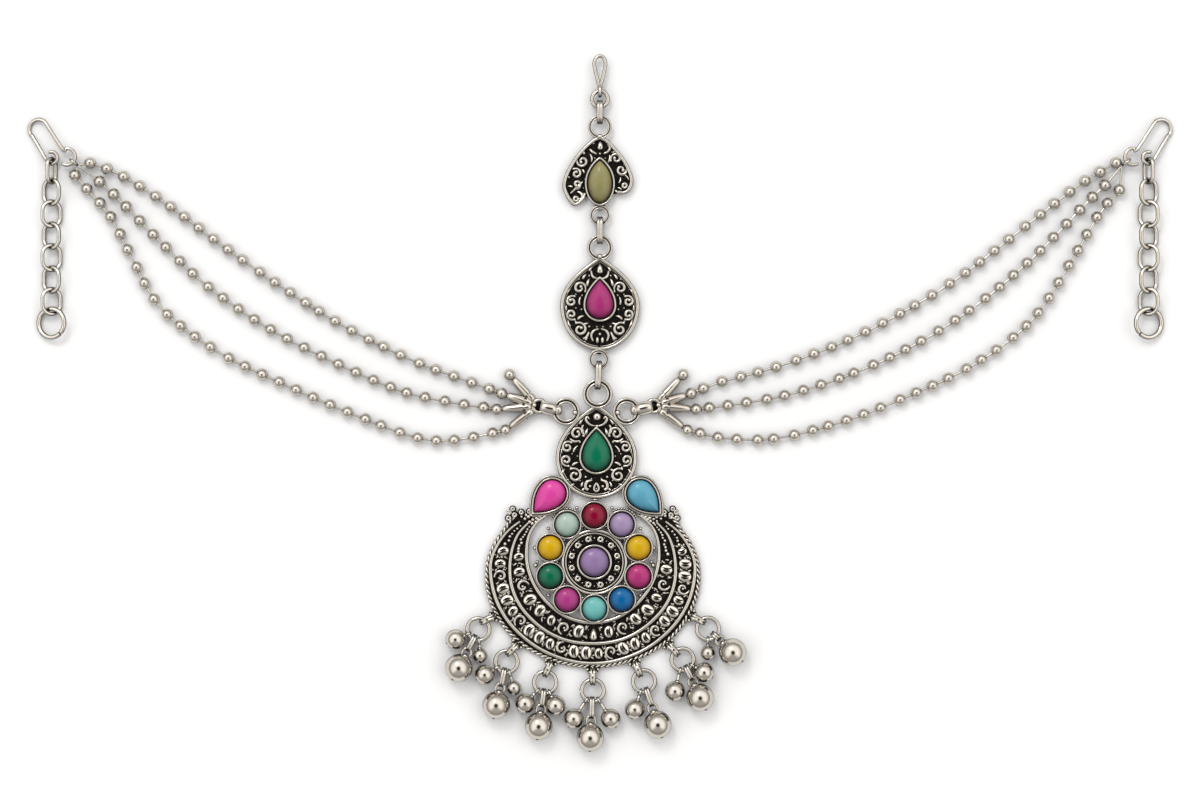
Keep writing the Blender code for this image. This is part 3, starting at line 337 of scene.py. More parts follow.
def smooth(before: Vector, start: Vector, end: Vector, after: Vector, share: float) -> Vector:
    """A point on the smooth curve from start to end.

    Args:
        before: The point before start.
        start: Where the stretch starts.
        end: Where it ends.
        after: The point after end.
        share: How far along the stretch, 0 to 1.

    Returns:
        The point.
    """
    square = 2 * before - 5 * start + 4 * end - after
    cube = 3 * start - before - 3 * end + after
    return 0.5 * (2 * start + (end - before) * share + square * share ** 2 + cube * share ** 3)


def flow(points: Iterable[Sequence[float]], fine: int = 6, closed: bool = False) -> list[Vector]:
    """A smooth path through points.

    Args:
        points: Points with two or three numbers each.
        fine: Steps between neighbours.
        closed: Whether the last point leads back to the first.

    Returns:
        The path's points.
    """
    knots = [Vector((*point, 0.0)) if len(point) == 2 else Vector(point) for point in points]
    if closed:
        ring = [knots[-1]] + knots + knots[:2]
    else:
        ring = [2 * knots[0] - knots[1]] + knots + [2 * knots[-1] - knots[-2]]
    path = [smooth(*ring[k - 1:k + 3], i / fine) for k in range(1, len(ring) - 2) for i in range(fine)]
    return path if closed else path + [knots[-1]]


def at_height(points: Iterable[Sequence[float]], height: float) -> list[Vector]:
    """The same flat points at one height."""
    return [Vector((point[0], point[1], height)) for point in points]


def up(height: float) -> Vector:
    """A way straight up from the table."""
    return Vector((0.0, 0.0, height))


def heading(angle: float) -> Vector:
    """The way that lies at an angle from the foot of the picture, in degrees anticlockwise."""
    return Vector((sin(radians(angle)), -cos(radians(angle)), 0.0))


def arc(centre: Sequence[float], radius: float, first: float = 0.0, last: float = 360.0,
        count: int = 24) -> list[Flat]:
    """Points round an arc.

    Args:
        centre: Its middle.
        radius: Its radius.
        first: The angle it starts at, in degrees from +X.
        last: The angle it ends at; a full turn leaves its last point out.
        count: Steps along it.

    Returns:
        Flat points.
    """
    whole = abs(last - first) >= 360
    turns = [radians(first + (last - first) * i / count) for i in range(count + (0 if whole else 1))]
    return [(centre[0] + radius * cos(t), centre[1] + radius * sin(t)) for t in turns]


def oval(radius: float, stretch: float, first: float, last: float, count: int) -> list[Vector]:
    """Points round an arc that is drawn out along X.

    Args:
        radius: The radius of its ends.
        stretch: How far it is drawn out.
        first: The angle it starts at, in degrees.
        last: The angle it ends at.
        count: Steps along it.

    Returns:
        Its points, round the origin.
    """
    half = stretch / 2
    return [Vector((x + (half if x > 0 else -half), y, 0.0))
            for x, y in arc((0, 0), radius, first, last, count)]


def spiral(centre: Flat, radius: float, start: float, turns: float, tail: float = 0.3,
           count: int = 20) -> list[Flat]:
    """Points of a scroll that winds inwards.

    Args:
        centre: Where it winds to.
        radius: Its outer radius.
        start: The angle of its outer end, in degrees.
        turns: Turns it makes, negative for clockwise.
        tail: Its inner radius as a share of the outer.
        count: Steps along it.

    Returns:
        Flat points from its outer end inwards.
    """
    points = []
    for i in range(count + 1):
        share = i / count
        reach = radius * (1 - (1 - tail) * share ** 0.8)
        turn = radians(start + 360 * turns * share)
        points.append((centre[0] + reach * cos(turn), centre[1] + reach * sin(turn)))
    return points


@dataclass(frozen=True)
class Drop:
    """A pointed oval outline: its tip at +Y and round below."""

    half: float
    upper: float
    lower: float
    centre: Flat
    turn: float = 0.0
    point: float = 1.0

    @classmethod
    def round(cls, radius: float, centre: Flat) -> "Drop":
        """A round outline."""
        return cls(radius, radius, radius, centre, point=0.5)

    def grown(self, more: float, count: int = 48) -> list[Flat]:
        """The outline, pushed out all round.

        Args:
            more: How far, in millimetres; negative draws it in.
            count: Points round it.

        Returns:
            Flat points, from the tip and on.
        """
        tip = more * sqrt(1 + (self.upper / (2 * self.half)) ** 2)
        half, upper, lower = self.half + more, self.upper + tip, self.lower + more
        c, s = cos(radians(self.turn)), sin(radians(self.turn))
        points = []
        for i in range(count):
            t = 2 * pi * i / count
            power = 2 * self.point if cos(t) > 0 else 1.0
            x = half * abs(sin(t)) ** power * (1 if sin(t) > 0 else -1)
            y = (upper if cos(t) > 0 else lower) * cos(t)
            points.append((self.centre[0] + x * c - y * s, self.centre[1] + x * s + y * c))
        return points


# One piece under work


class Work:
    """A piece under work: wires, balls, plates and turned forms gathered in one mesh."""

    def __init__(self, name: str, finishes: Sequence[bpy.types.Material]) -> None:
        """Starts a piece.

        Args:
            name: The piece's name.
            finishes: Its materials, by slot number.
        """
        self.name = name
        self.finishes = list(finishes)
        self.mesh = bmesh.new()
        self.beads = bmesh.new()
        self.wires: list[tuple[list[Vector], list[float], bool, int]] = []

    def paint(self, faces: Iterable[bmesh.types.BMFace], part: Part) -> None:
        """Gives faces one of the piece's finishes."""
        for face in faces:
            face.material_index = min(part.value, len(self.finishes) - 1)

    def wire(self, points: Iterable[Sequence[float]], radius: float | Sequence[float],
             closed: bool = False, part: Part = Part.RELIEF) -> None:
        """Adds a round wire.

        Args:
            points: Where it runs.
            radius: Its radius, or one for its start, middle and end.
            closed: Whether its ends meet.
            part: Its finish.
        """
        path = [Vector(point) for point in points]
        if isinstance(radius, (int, float)):
            radii = [float(radius)] * len(path)
        else:
            last = len(radius) - 1
            radii = []
            for i in range(len(path)):
                along = last * i / max(len(path) - 1, 1)
                k = min(int(along), last - 1)
                radii.append(radius[k] + (radius[k + 1] - radius[k]) * (along - k))
        self.wires.append((path, radii, closed, min(part.value, len(self.finishes) - 1)))

    def ball(self, at: Sequence[float], radius: float, shape: Place = (1.0, 1.0, 1.0), turn: float = 0.0,
             steps: tuple[int, int] = (10, 6), part: Part = Part.RELIEF) -> None:
        """Adds a ball or a drawn-out ball.

        Args:
            at: Its middle.
            radius: Its radius.
            shape: How much it is drawn out along its own X, Y and Z.
            turn: Its turn about Z in degrees.
            steps: Sides round it and rows up it.
            part: Its finish.
        """
        spot = Matrix.Translation(at) @ Matrix.Rotation(radians(turn), 4, "Z")
        spot = spot @ Matrix.Diagonal((*(radius * s for s in shape), 1.0))
        made = bmesh.ops.create_uvsphere(
            self.beads, u_segments=steps[0], v_segments=steps[1], radius=1.0, matrix=spot)
        self.paint({face for vert in made["verts"] for face in vert.link_faces}, part)
        if len(self.beads.verts) > BALL_LOT:
            # An operator walks the whole mesh, so balls are handed over in small lots
            self.join(self.beads)
            self.beads = bmesh.new()

    def plate(self, outline: Sequence[Sequence[float]], low: float, high: float,
              part: Part = Part.GROUND) -> None:
        """Adds a flat plate.

        Args:
            outline: Its edge, as flat points.
            low: The height of its underside.
            high: The height of its top.
            part: Its finish.
        """
        verts = [self.mesh.verts.new((point[0], point[1], low)) for point in outline]
        under = self.mesh.faces.new(verts)
        raised = bmesh.ops.extrude_face_region(self.mesh, geom=[under], use_keep_orig=True)["geom"]
        top = [item for item in raised if isinstance(item, bmesh.types.BMVert)]
        bmesh.ops.translate(self.mesh, verts=top, vec=(0.0, 0.0, high - low))
        faces = {face for vert in verts + top for face in vert.link_faces}
        bmesh.ops.recalc_face_normals(self.mesh, faces=list(faces))
        self.paint(faces, part)

    def turned(self, profile: Sequence[Flat], start: Sequence[float], end: Sequence[float],
               steps: int = 16, part: Part = Part.POLISHED) -> None:
        """Adds a form turned on a lathe.

        Args:
            profile: Distance along its axis and radius, both ends at or near the axis.
            start: Where its axis starts.
            end: The point its axis runs towards.
            steps: Sides round it.
            part: Its finish.
        """
        work = bmesh.new()
        verts = [work.verts.new((max(radius, 0.0), 0.0, along)) for along, radius in profile]
        for near, far in zip(verts, verts[1:]):
            work.edges.new((near, far))
        bmesh.ops.spin(
            work, geom=work.verts[:] + work.edges[:], axis=(0, 0, 1), cent=(0, 0, 0),
            angle=2 * pi, steps=steps, use_merge=True)
        bmesh.ops.remove_doubles(work, verts=work.verts, dist=0.001)
        holes = [edge for edge in work.edges if edge.is_boundary]
        if holes:
            bmesh.ops.holes_fill(work, edges=holes, sides=0)
        bmesh.ops.recalc_face_normals(work, faces=work.faces)
        axis = Vector(end) - Vector(start)
        spot = Matrix.Translation(start) @ axis.to_track_quat("Z", "Y").to_matrix().to_4x4()
        bmesh.ops.transform(work, matrix=spot, verts=work.verts)
        self.paint(work.faces, part)
        self.join(work)

    def join(self, other: bmesh.types.BMesh) -> None:
        """Takes over a mesh made apart, and frees it.

        Args:
            other: The mesh.
        """
        carrier = bpy.data.meshes.new("carrier")
        other.to_mesh(carrier)
        other.free()
        self.mesh.from_mesh(carrier)
        bpy.data.meshes.remove(carrier)

    def ring(self, at: Sequence[float], radius: float, wire: float, turn: float = 0.0, tilt: float = 0.0,
             upright: bool = False, stretch: float = 0.0, gap: float = 0.0, gap_at: float = 0.0,
             part: Part = Part.RELIEF, count: int = 28) -> None:
        """Adds a ring or an oval link.

        Args:
            at: Its middle.
            radius: Its outer radius.
            wire: Its wire's thickness.
            turn: Its turn about Z in degrees.
            tilt: Its tilt about Y in degrees, before the turn.
            upright: Whether it stands on its edge.
            stretch: How far it is drawn out along its own X.
            gap: The open angle at its joint, in degrees.
            gap_at: Where the joint is, in degrees.
            part: Its finish.
            count: Points round it.
        """
        spot = Matrix.Translation(at) @ Matrix.Rotation(radians(turn), 4, "Z")
        spot = spot @ Matrix.Rotation(radians(tilt), 4, "Y")
        if upright:
            spot = spot @ Matrix.Rotation(pi / 2, 4, "X")
        middle = radius - wire / 2
        first = gap_at + (gap / 2 if gap else 180 / count)
        path = [spot @ point for point in oval(middle, stretch, first, first + 360 - gap, count)]
        self.wire(path, wire / 2, closed=not gap, part=part)

    def grain(self, at: Sequence[float], radius: float, part: Part = Part.RELIEF) -> None:
        """Adds a small ball with few faces."""
        self.ball(at, radius, steps=(8, 6), part=part)

    def pit(self, at: Sequence[float], radius: float) -> None:
        """Adds a granule with a dark pit in its top.

        Args:
            at: Its middle on the ground.
            radius: Its outer radius.
        """
        bead = radius * 0.40
        path = at_height(arc(at, radius - bead, count=10), at[2] + bead * 0.9)
        self.wire(path, bead, closed=True)

    def grooved(self, at: Sequence[float], radius: float, wire: float) -> None:
        """Adds a ring of doubled wire with a dark groove between.

        Args:
            at: Its middle.
            radius: Its outer radius.
            wire: The breadth of both wires together.
        """
        thin = wire * 0.44
        self.ring(at, radius, thin)
        self.ring(at, radius - wire + thin, thin)
        self.ring(at, radius - wire / 2 + thin * 0.45, thin * 0.9, part=Part.GROUND)

    def bud(self, x: float, y: float, size: float) -> None:
        """Adds a pointed bud with a dark dot.

        Args:
            x: Its middle.
            y: Its middle.
            size: Its half width.
        """
        path = flow([(x, y - size * 0.55, 2.0), (x, y + size * 0.2, 2.0), (x, y + size * 1.3, 1.9)], 5)
        self.wire(path, (size * 0.7, size * 0.85, size * 0.7, size * 0.25))
        self.ball((x, y - size * 0.45, 2.0), size * 0.9, (1, 0.9, 0.9), steps=(14, 9))
        self.grain((x, y - size * 0.35, 2.0 + size * 0.76), size * 0.2, Part.GROUND)

    def plates(self, plate: Drop, stone: Drop, line: float) -> None:
        """Adds a pendant's plates, its rim with a fine line inside, and the setting of its stone.

        Args:
            plate: The pendant's outline.
            stone: The stone's outline.
            line: How far in from the edge the fine line runs.
        """
        self.plate(plate.grown(-0.1), 0.0, GROUND_TOP)
        self.plate(plate.grown(-0.05), 0.0, 1.1, Part.RELIEF)
        self.wire(at_height(plate.grown(-0.58, 64), 2.1), 0.58, closed=True)
        self.wire(at_height(plate.grown(-line, 64), 1.6), 0.2, closed=True)
        Setting(stone, 0.34, 2.95).cast(self)

    def draw_wires(self) -> None:
        """Turns the gathered wires into mesh."""
        if not self.wires:
            return
        curve = bpy.data.curves.new(self.name + "_wires", "CURVE")
        curve.dimensions = "3D"
        curve.bevel_depth = 1.0
        curve.bevel_resolution = 2
        curve.use_fill_caps = True
        for finish in self.finishes:
            curve.materials.append(finish)
        for path, radii, closed, slot in self.wires:
            spline = curve.splines.new("POLY")
            spline.points.add(len(path) - 1)
            spline.use_cyclic_u = closed
            spline.material_index = slot
            for target, point, radius in zip(spline.points, path, radii):
                target.co = (*point, 1.0)
                target.radius = radius
        holder = bpy.data.objects.new(self.name + "_wires", curve)
        bpy.context.scene.collection.objects.link(holder)
        bpy.context.view_layer.update()
        graph = bpy.context.evaluated_depsgraph_get()
        data = bpy.data.meshes.new_from_object(holder.evaluated_get(graph))
        drawn = bmesh.new()
        drawn.from_mesh(data)
        bmesh.ops.remove_doubles(drawn, verts=drawn.verts, dist=0.0005)
        bmesh.ops.recalc_face_normals(drawn, faces=drawn.faces)
        self.join(drawn)
        bpy.data.objects.remove(holder, do_unlink=True)
        bpy.data.meshes.remove(data)
        bpy.data.curves.remove(curve)

    def finish(self, *nodes: str, slot: str = "oxidised_silver") -> bpy.types.Object:
        """Turns the work into a piece of the object.

        Args:
            nodes: The CAD nodes that it stands for.
            slot: A material slot's name; not used.

        Returns:
            The finished object.
        """
        self.draw_wires()
        self.join(self.beads)
        bmesh.ops.scale(self.mesh, vec=(MM, MM, MM), verts=self.mesh.verts)
        data = bpy.data.meshes.new(self.name)
        self.mesh.to_mesh(data)
        self.mesh.free()
        data.shade_smooth()
        data.set_sharp_from_angle(angle=radians(50))
        for finish in self.finishes:
            data.materials.append(finish)
        piece = bpy.data.objects.new(self.name, data)
        bpy.context.scene.collection.objects.link(piece)
        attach(piece, "root")
        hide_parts(*nodes)
        LOG.info("%s: %d faces", self.name, len(data.polygons))
        return piece


# Sub-assemblies


@dataclass
class Stone:
    """A cabochon: a domed glass stone in its setting."""

    name: str
    shape: Drop
    finish: GlassFinish
    seat: float = 1.6
    girdle: float = 3.05
    rise: float = 1.8

    def build(self) -> bpy.types.Object:
        """Makes the stone, its girdle extruded up and drawn in to a dome.

        Returns:
            The finished object.
        """
        work = Work(self.name, [self.finish.make()])
        mesh = work.mesh
        outline = self.shape.grown(0.0, 40)
        verts = [mesh.verts.new((x, y, self.seat)) for x, y in outline]
        edges = [mesh.edges.new((verts[i], verts[(i + 1) % len(verts)])) for i in range(len(verts))]
        bmesh.ops.contextual_create(mesh, geom=edges)
        steps = 9
        middle = Vector((*self.shape.centre, 0.0))
        share, height = 1.0, self.seat
        for i in range(steps + 1):
            lean = pi / 2 * i / (steps + 0.6)
            target_share, target = cos(lean), self.girdle + self.rise * sin(lean)
            raised = bmesh.ops.extrude_edge_only(mesh, edges=edges)["geom"]
            top = [item for item in raised if isinstance(item, bmesh.types.BMVert)]
            edges = [item for item in raised if isinstance(item, bmesh.types.BMEdge)]
            ratio = target_share / share
            bmesh.ops.scale(mesh, vec=(ratio, ratio, 1.0), space=Matrix.Translation(-middle), verts=top)
            bmesh.ops.translate(mesh, vec=(0.0, 0.0, target - height), verts=top)
            share, height = target_share, target
        cap = bmesh.ops.contextual_create(mesh, geom=edges)["faces"]
        bmesh.ops.poke(mesh, faces=cap)
        bmesh.ops.recalc_face_normals(mesh, faces=mesh.faces)
        return work.finish(self.name, slot=slot_of(self.finish.name))


def slot_of(finish: str) -> str:
    """The slot name for a glass finish: its name without _cabochon."""
    return finish.removesuffix("_cabochon")


@dataclass(frozen=True)
class Scroll:
    """One scroll of the relief, placed from its pendant's middle."""

    x: float
    y: float
    radius: float
    start: float
    turns: float
    bead: float = 0.58


@dataclass(frozen=True)
class Leaf:
    """A drop-shaped leaf of the relief, placed from its pendant's middle."""

    x: float
    y: float
    length: float
    turn: float
    width: float = 0.55


@dataclass
class Relief:
    """Cast scrolls, leaves and granules on a pendant's dark ground."""

    centre: Flat
    ground: float = GROUND_TOP
    scrolls: Sequence[Scroll] = ()
    leaves: Sequence[Leaf] = ()
    granules: Sequence[tuple[float, float, float]] = ()
    pits: Sequence[tuple[float, float, float]] = ()
    lines: Sequence[Sequence[Flat]] = ()
    mirrored: bool = True

    def sides(self) -> tuple[int, ...]:
        """Which sides the relief is cast on."""
        return (-1, 1) if self.mirrored else (1,)

    def place(self, x: float, y: float, side: int, lift: float = 0.0) -> Vector:
        """A point of the relief on one side."""
        return Vector((self.centre[0] + side * x, self.centre[1] + y, self.ground + lift))

    def cast(self, work: Work) -> None:
        """Adds the relief to a piece.

        Args:
            work: The pendant under work.
        """
        for side in self.sides():
            for scroll in self.scrolls:
                path = spiral((scroll.x, scroll.y), scroll.radius, scroll.start, scroll.turns)
                points = [self.place(x, y, side, 0.22 + 0.35 * i / len(path))
                          for i, (x, y) in enumerate(path)]
                work.wire(points, (0.34, 0.52, 0.44, 0.34))
                work.ball(points[-1], scroll.bead, (1, 1, 0.9))
                work.ball(points[0], scroll.bead * 0.8, (1, 1, 0.9))
            for leaf in self.leaves:
                turn = radians(leaf.turn)
                along = Vector((side * -sin(turn), cos(turn), 0.0))
                middle = self.place(leaf.x, leaf.y, side, 0.3)
                half = along * leaf.length / 2
                bow = Vector((along.y, -along.x, 0.0)) * side * leaf.length * 0.10
                path = [middle - half, middle - half * 0.4 + bow, middle + half * 0.3 + bow, middle + half]
                work.wire(flow(path, 3), (leaf.width * 0.7, leaf.width, leaf.width * 0.75, 0.12))
            for x, y, radius in self.granules:
                work.grain(self.place(x, y, side, radius * 0.4), radius)
            for x, y, radius in self.pits:
                work.pit(self.place(x, y, side), radius)
            for line in self.lines:
                path = [self.place(x, y, side, 0.35) for x, y in line]
                work.wire(flow(path, 4), (0.28, 0.46, 0.28))


@dataclass
class Setting:
    """A bezel: a dark well, a bright wall round the stone and sometimes an outer wire."""

    shape: Drop
    wall: float = 0.27
    top: float = 2.85
    low: float = 0.25
    outer_wire: float = 0.0

    def cast(self, work: Work) -> None:
        """Adds the setting to a piece.

        Args:
            work: The piece under work.
        """
        reach = 0.28 + self.wall
        work.plate(self.shape.grown(reach + self.wall * 0.6), self.low, self.top - 0.1, Part.RELIEF)
        work.plate(self.shape.grown(0.3), self.low + 0.1, self.top)
        work.wire(at_height(self.shape.grown(reach), self.top), self.wall, closed=True)
        if self.outer_wire:
            edge = self.shape.grown(reach + self.wall + self.outer_wire)
            work.plate(edge, self.low, self.top - 0.9)
            work.wire(at_height(edge, self.top - 0.75), self.outer_wire, closed=True)


@dataclass
class Crescent:
    """The crescent: a dark plate with rope edge, three wires and two bands of bosses."""

    radius: float = 32.6
    x: float = -0.5
    ground: float = GROUND_TOP
    last: float = 136.0
    sections: Sequence[tuple[float, ...]] = (
        (0, 0.982, 0.931, 0.748, 0.556),
        (22, 0.993, 0.930, 0.759, 0.556),
        (45, 1.021, 0.940, 0.768, 0.557),
        (62, 1.028, 0.951, 0.778, 0.568),
        (76, 1.018, 0.948, 0.774, 0.584),
        (90, 0.985, 0.936, 0.759, 0.604),
        (100, 0.938, 0.890, 0.748, 0.617),
        (110, 0.885, 0.830, 0.733, 0.632),
        (119, 0.860, 0.765, 0.700, 0.635),
        (126, 0.763, 0.715, 0.675, 0.625),
        (132, 0.670, 0.654, 0.638, 0.612),
        (137, 0.618, 0.612, 0.606, 0.598),
    )

    def section(self, angle: float) -> list[float]:
        """Edge, outer, middle and inner radius.

        Args:
            angle: Degrees from the bottom.

        Returns:
            The four radii in millimetres.
        """
        rows = tuple(self.sections)
        rows = (((-rows[1][0],) + tuple(rows[1][1:])),) + rows + (rows[-1],)
        angle = abs(angle)
        k = 1
        while k < len(rows) - 3 and rows[k + 1][0] < angle:
            k += 1
        share = min(max((angle - rows[k][0]) / (rows[k + 1][0] - rows[k][0]), 0.0), 1.0)
        values = [Vector(row[1:]) for row in rows[k - 1:k + 3]]
        return [self.radius * value for value in smooth(*values, share)]

    def spot(self, angle: float, radius: float, height: float = 0.0) -> Vector:
        """A point at an angle from the bottom and a distance from the rosette's middle."""
        turn = radians(angle)
        return Vector((self.x + radius * sin(turn), -radius * cos(turn), height))

    def between(self, angle: float, share: float, outer: int, inner: int, height: float) -> Vector:
        """A point between two of the section's radii, share 0 at the inner one."""
        radii = self.section(angle)
        return self.spot(angle, radii[inner] + (radii[outer] - radii[inner]) * share, height)

    def cast(self, work: Work) -> None:
        """Adds the crescent to a piece.

        Args:
            work: The piece under work.
        """
        self.cast_ground(work)
        self.cast_wires(work)
        self.cast_rope(work)
        self.cast_band(work, 1, 2, 3.75, 97.0, 11)
        self.cast_band(work, 2, 3, 4.5, 94.0, 29)
        self.cast_horns(work)

    def cast_ground(self, work: Work) -> None:
        """Adds the dark plate, a grid bent to the crescent and thickened.

        Args:
            work: The piece under work.
        """
        sheet = bmesh.new()
        bmesh.ops.create_grid(sheet, x_segments=96, y_segments=2, size=0.5)
        for vert in sheet.verts:
            angle = vert.co.x * 2 * (self.last - 2)
            edge, _, _, inner = self.section(angle)
            reach = (inner - 0.2) + (edge - 0.75 - inner) * (vert.co.y + 0.5)
            vert.co = self.spot(angle, reach, 0.0)
        raised = bmesh.ops.extrude_face_region(sheet, geom=sheet.faces[:], use_keep_orig=True)["geom"]
        top = [item for item in raised if isinstance(item, bmesh.types.BMVert)]
        bmesh.ops.translate(sheet, verts=top, vec=(0.0, 0.0, self.ground))
        bmesh.ops.recalc_face_normals(sheet, faces=sheet.faces)
        work.paint(sheet.faces, Part.GROUND)
        work.join(sheet)

    def cast_wires(self, work: Work) -> None:
        """Adds the three plain wires, each drawn thin at the horns.

        Args:
            work: The piece under work.
        """
        height = 1.95
        for row, end in ((1, 119.0), (2, 122.0), (3, self.last)):
            count = 110
            path = []
            for i in range(count + 1):
                angle = -end + 2 * end * i / count
                path.append(self.spot(angle, self.section(angle)[row], height))
            thick = 0.60 if row < 3 else 0.62
            work.wire(path, (thick * 0.55, thick, thick, thick, thick, thick, thick * 0.55))

    def cast_rope(self, work: Work) -> None:
        """Adds the twisted rope along the outer edge.

        Args:
            work: The piece under work.
        """
        end = 121.0
        pitch, offset, strand = 3.3, 0.36, 0.37
        path = []
        count = 620
        for i in range(count + 1):
            angle = -end + 2 * end * i / count
            path.append(self.spot(angle, self.section(angle)[0] - 0.78, 1.35))
        for start in (0.0, pi):
            walked, twisted = 0.0, []
            for i in range(1, len(path) - 1):
                walked += (path[i] - path[i - 1]).length
                along = (path[i + 1] - path[i - 1]).normalized()
                out = Vector((along.y, -along.x, 0.0))
                turn = 2 * pi * walked / pitch + start
                twisted.append(path[i] + (out * cos(turn) + up(1) * sin(turn)) * offset)
            work.wire(twisted, strand)
        work.wire(at_height(path[::6], 0.95), 0.5, part=Part.GROUND)

    def cast_band(self, work: Work, outer: int, inner: int, pitch: float, end: float,
                  seed: int) -> None:
        """Adds a band of slit bosses with curls, leaves and granules between them.

        Args:
            work: The piece under work.
            outer: The section's radius outside the band.
            inner: The one inside it.
            pitch: Spacing of the bosses.
            end: The angle that the band ends at.
            seed: Start of the band's small differences.
        """
        dice = Random(seed)
        angle = -end
        k = 0
        while angle < end:
            radii = self.section(angle)
            middle, width = (radii[outer] + radii[inner]) / 2, radii[outer] - radii[inner] - 1.2
            step = degrees(pitch / middle)
            size = min(width / 2, 2.2) * (0.98 + 0.10 * dice.random())
            spot = self.between(angle, 0.5 + 0.05 * (dice.random() - 0.5), outer, inner, self.ground)
            lean = angle + dice.uniform(-16, 16)
            if inner == 3 and abs(angle) < step / 2:
                work.bud(spot.x, spot.y - 0.5, 1.4)
            elif k % 4 == 2:
                self.curl(work, spot, size * 0.95, angle, 1 if dice.random() > 0.5 else -1)
            else:
                self.boss(work, spot, size * (1.0 if k % 4 != 1 else 0.86), lean)
            for _ in range(9):
                grain = self.between(angle + step * dice.uniform(0.34, 0.66), dice.uniform(0.10, 0.90),
                                     outer, inner, self.ground)
                work.ball(grain + up(0.08), dice.uniform(0.18, 0.36), steps=(8, 5))
            for share, turn in ((0.72, 35), (0.28, -35)):
                leaf = self.between(angle + step / 2, share, outer, inner, self.ground + 0.25)
                long = 2.4 if inner == 3 else 1.8
                lean = angle + step / 2 + turn + dice.uniform(-25, 25)
                work.ball(leaf, 0.38, (0.8, long, 1.1), lean, (8, 6))
            angle += step
            k += 1

    def boss(self, work: Work, spot: Vector, size: float, lean: float) -> None:
        """Adds an oval boss with two dark slits, like a bean.

        Args:
            work: The piece under work.
            spot: Its middle on the ground.
            size: Half its length across the band.
            lean: Its turn about Z in degrees.
        """
        half, height = size * 0.76, 0.72
        work.ball(spot + up(0.1), 1.0, (half, size, height), lean, (14, 8))
        turn = Matrix.Translation(spot) @ Matrix.Rotation(radians(lean), 4, "Z")
        for x, length in ((-0.27, 0.50), (0.20, 0.62)):
            slit = []
            for y, bow in ((-1.0, 0.20), (-0.4, 0.0), (0.3, -0.06), (1.0, 0.10)):
                px, py = half * (x + bow), size * y * length
                rise = height * sqrt(max(1 - (px / half) ** 2 - (py / size) ** 2, 0.0))
                slit.append(turn @ Vector((px, py, 0.1 + rise)))
            work.wire(flow(slit, 2), (0.14, 0.31, 0.14), part=Part.GROUND)

    def curl(self, work: Work, spot: Vector, size: float, angle: float, side: int) -> None:
        """Adds a C-shaped curl with a granule in it.

        Args:
            work: The piece under work.
            spot: Its middle on the ground.
            size: Its radius.
            angle: Its turn about Z in degrees.
            side: Which way it opens, 1 or -1.
        """
        path = spiral((spot.x, spot.y), size * 0.95, angle + 90 * side, 0.95 * side, 0.35, 16)
        work.wire(at_height(path, spot.z + 0.35), (0.28, 0.5, 0.42, 0.3))
        work.grain(spot + up(0.3), 0.46)

    def cast_horns(self, work: Work) -> None:
        """Adds the small granules towards the horns and the clusters at their tips.

        Args:
            work: The piece under work.
        """
        dice = Random(5)
        for side in (-1, 1):
            for outer, inner, first, end in ((1, 2, 99, 117), (2, 3, 96, 122)):
                angle = first
                while angle < end:
                    share = 0.5 + dice.uniform(-0.08, 0.08)
                    spot = self.between(side * angle, share, outer, inner, self.ground)
                    size = 0.72 - 0.3 * (angle - first) / (end - first)
                    work.grain(spot + up(0.12), size * dice.uniform(0.8, 1.0))
                    angle += dice.uniform(2.0, 2.8)
            for angle, reach, size in (
                    (117.5, 0.872, 0.9), (121.0, 0.838, 0.9), (124.8, 0.800, 0.85), (128.5, 0.745, 0.8),
                    (123.5, 0.882, 0.8), (131.0, 0.690, 0.62)):
                at = self.spot(side * angle, self.radius * reach, 1.45)
                work.ball(at - up(0.5), size * 1.35, (1, 1, 0.6), part=Part.GROUND)
                work.pit(at, size)
            for row in range(5):
                for share in (0.12, 0.36, 0.60, 0.84):
                    along = share + dice.uniform(-0.06, 0.06)
                    at = self.between(side * (122.5 + 2.7 * row), along, 0, 3, 1.62)
                    work.grain(at, dice.uniform(0.46, 0.70))
            tip = self.spot(side * 120.5, self.radius * 0.892, 1.5)
            curled = spiral((tip.x, tip.y), 0.85, 90 - side * 60, side * 1.1, 0.3, 14)
            work.wire(at_height(curled, 1.7), (0.2, 0.3, 0.24))


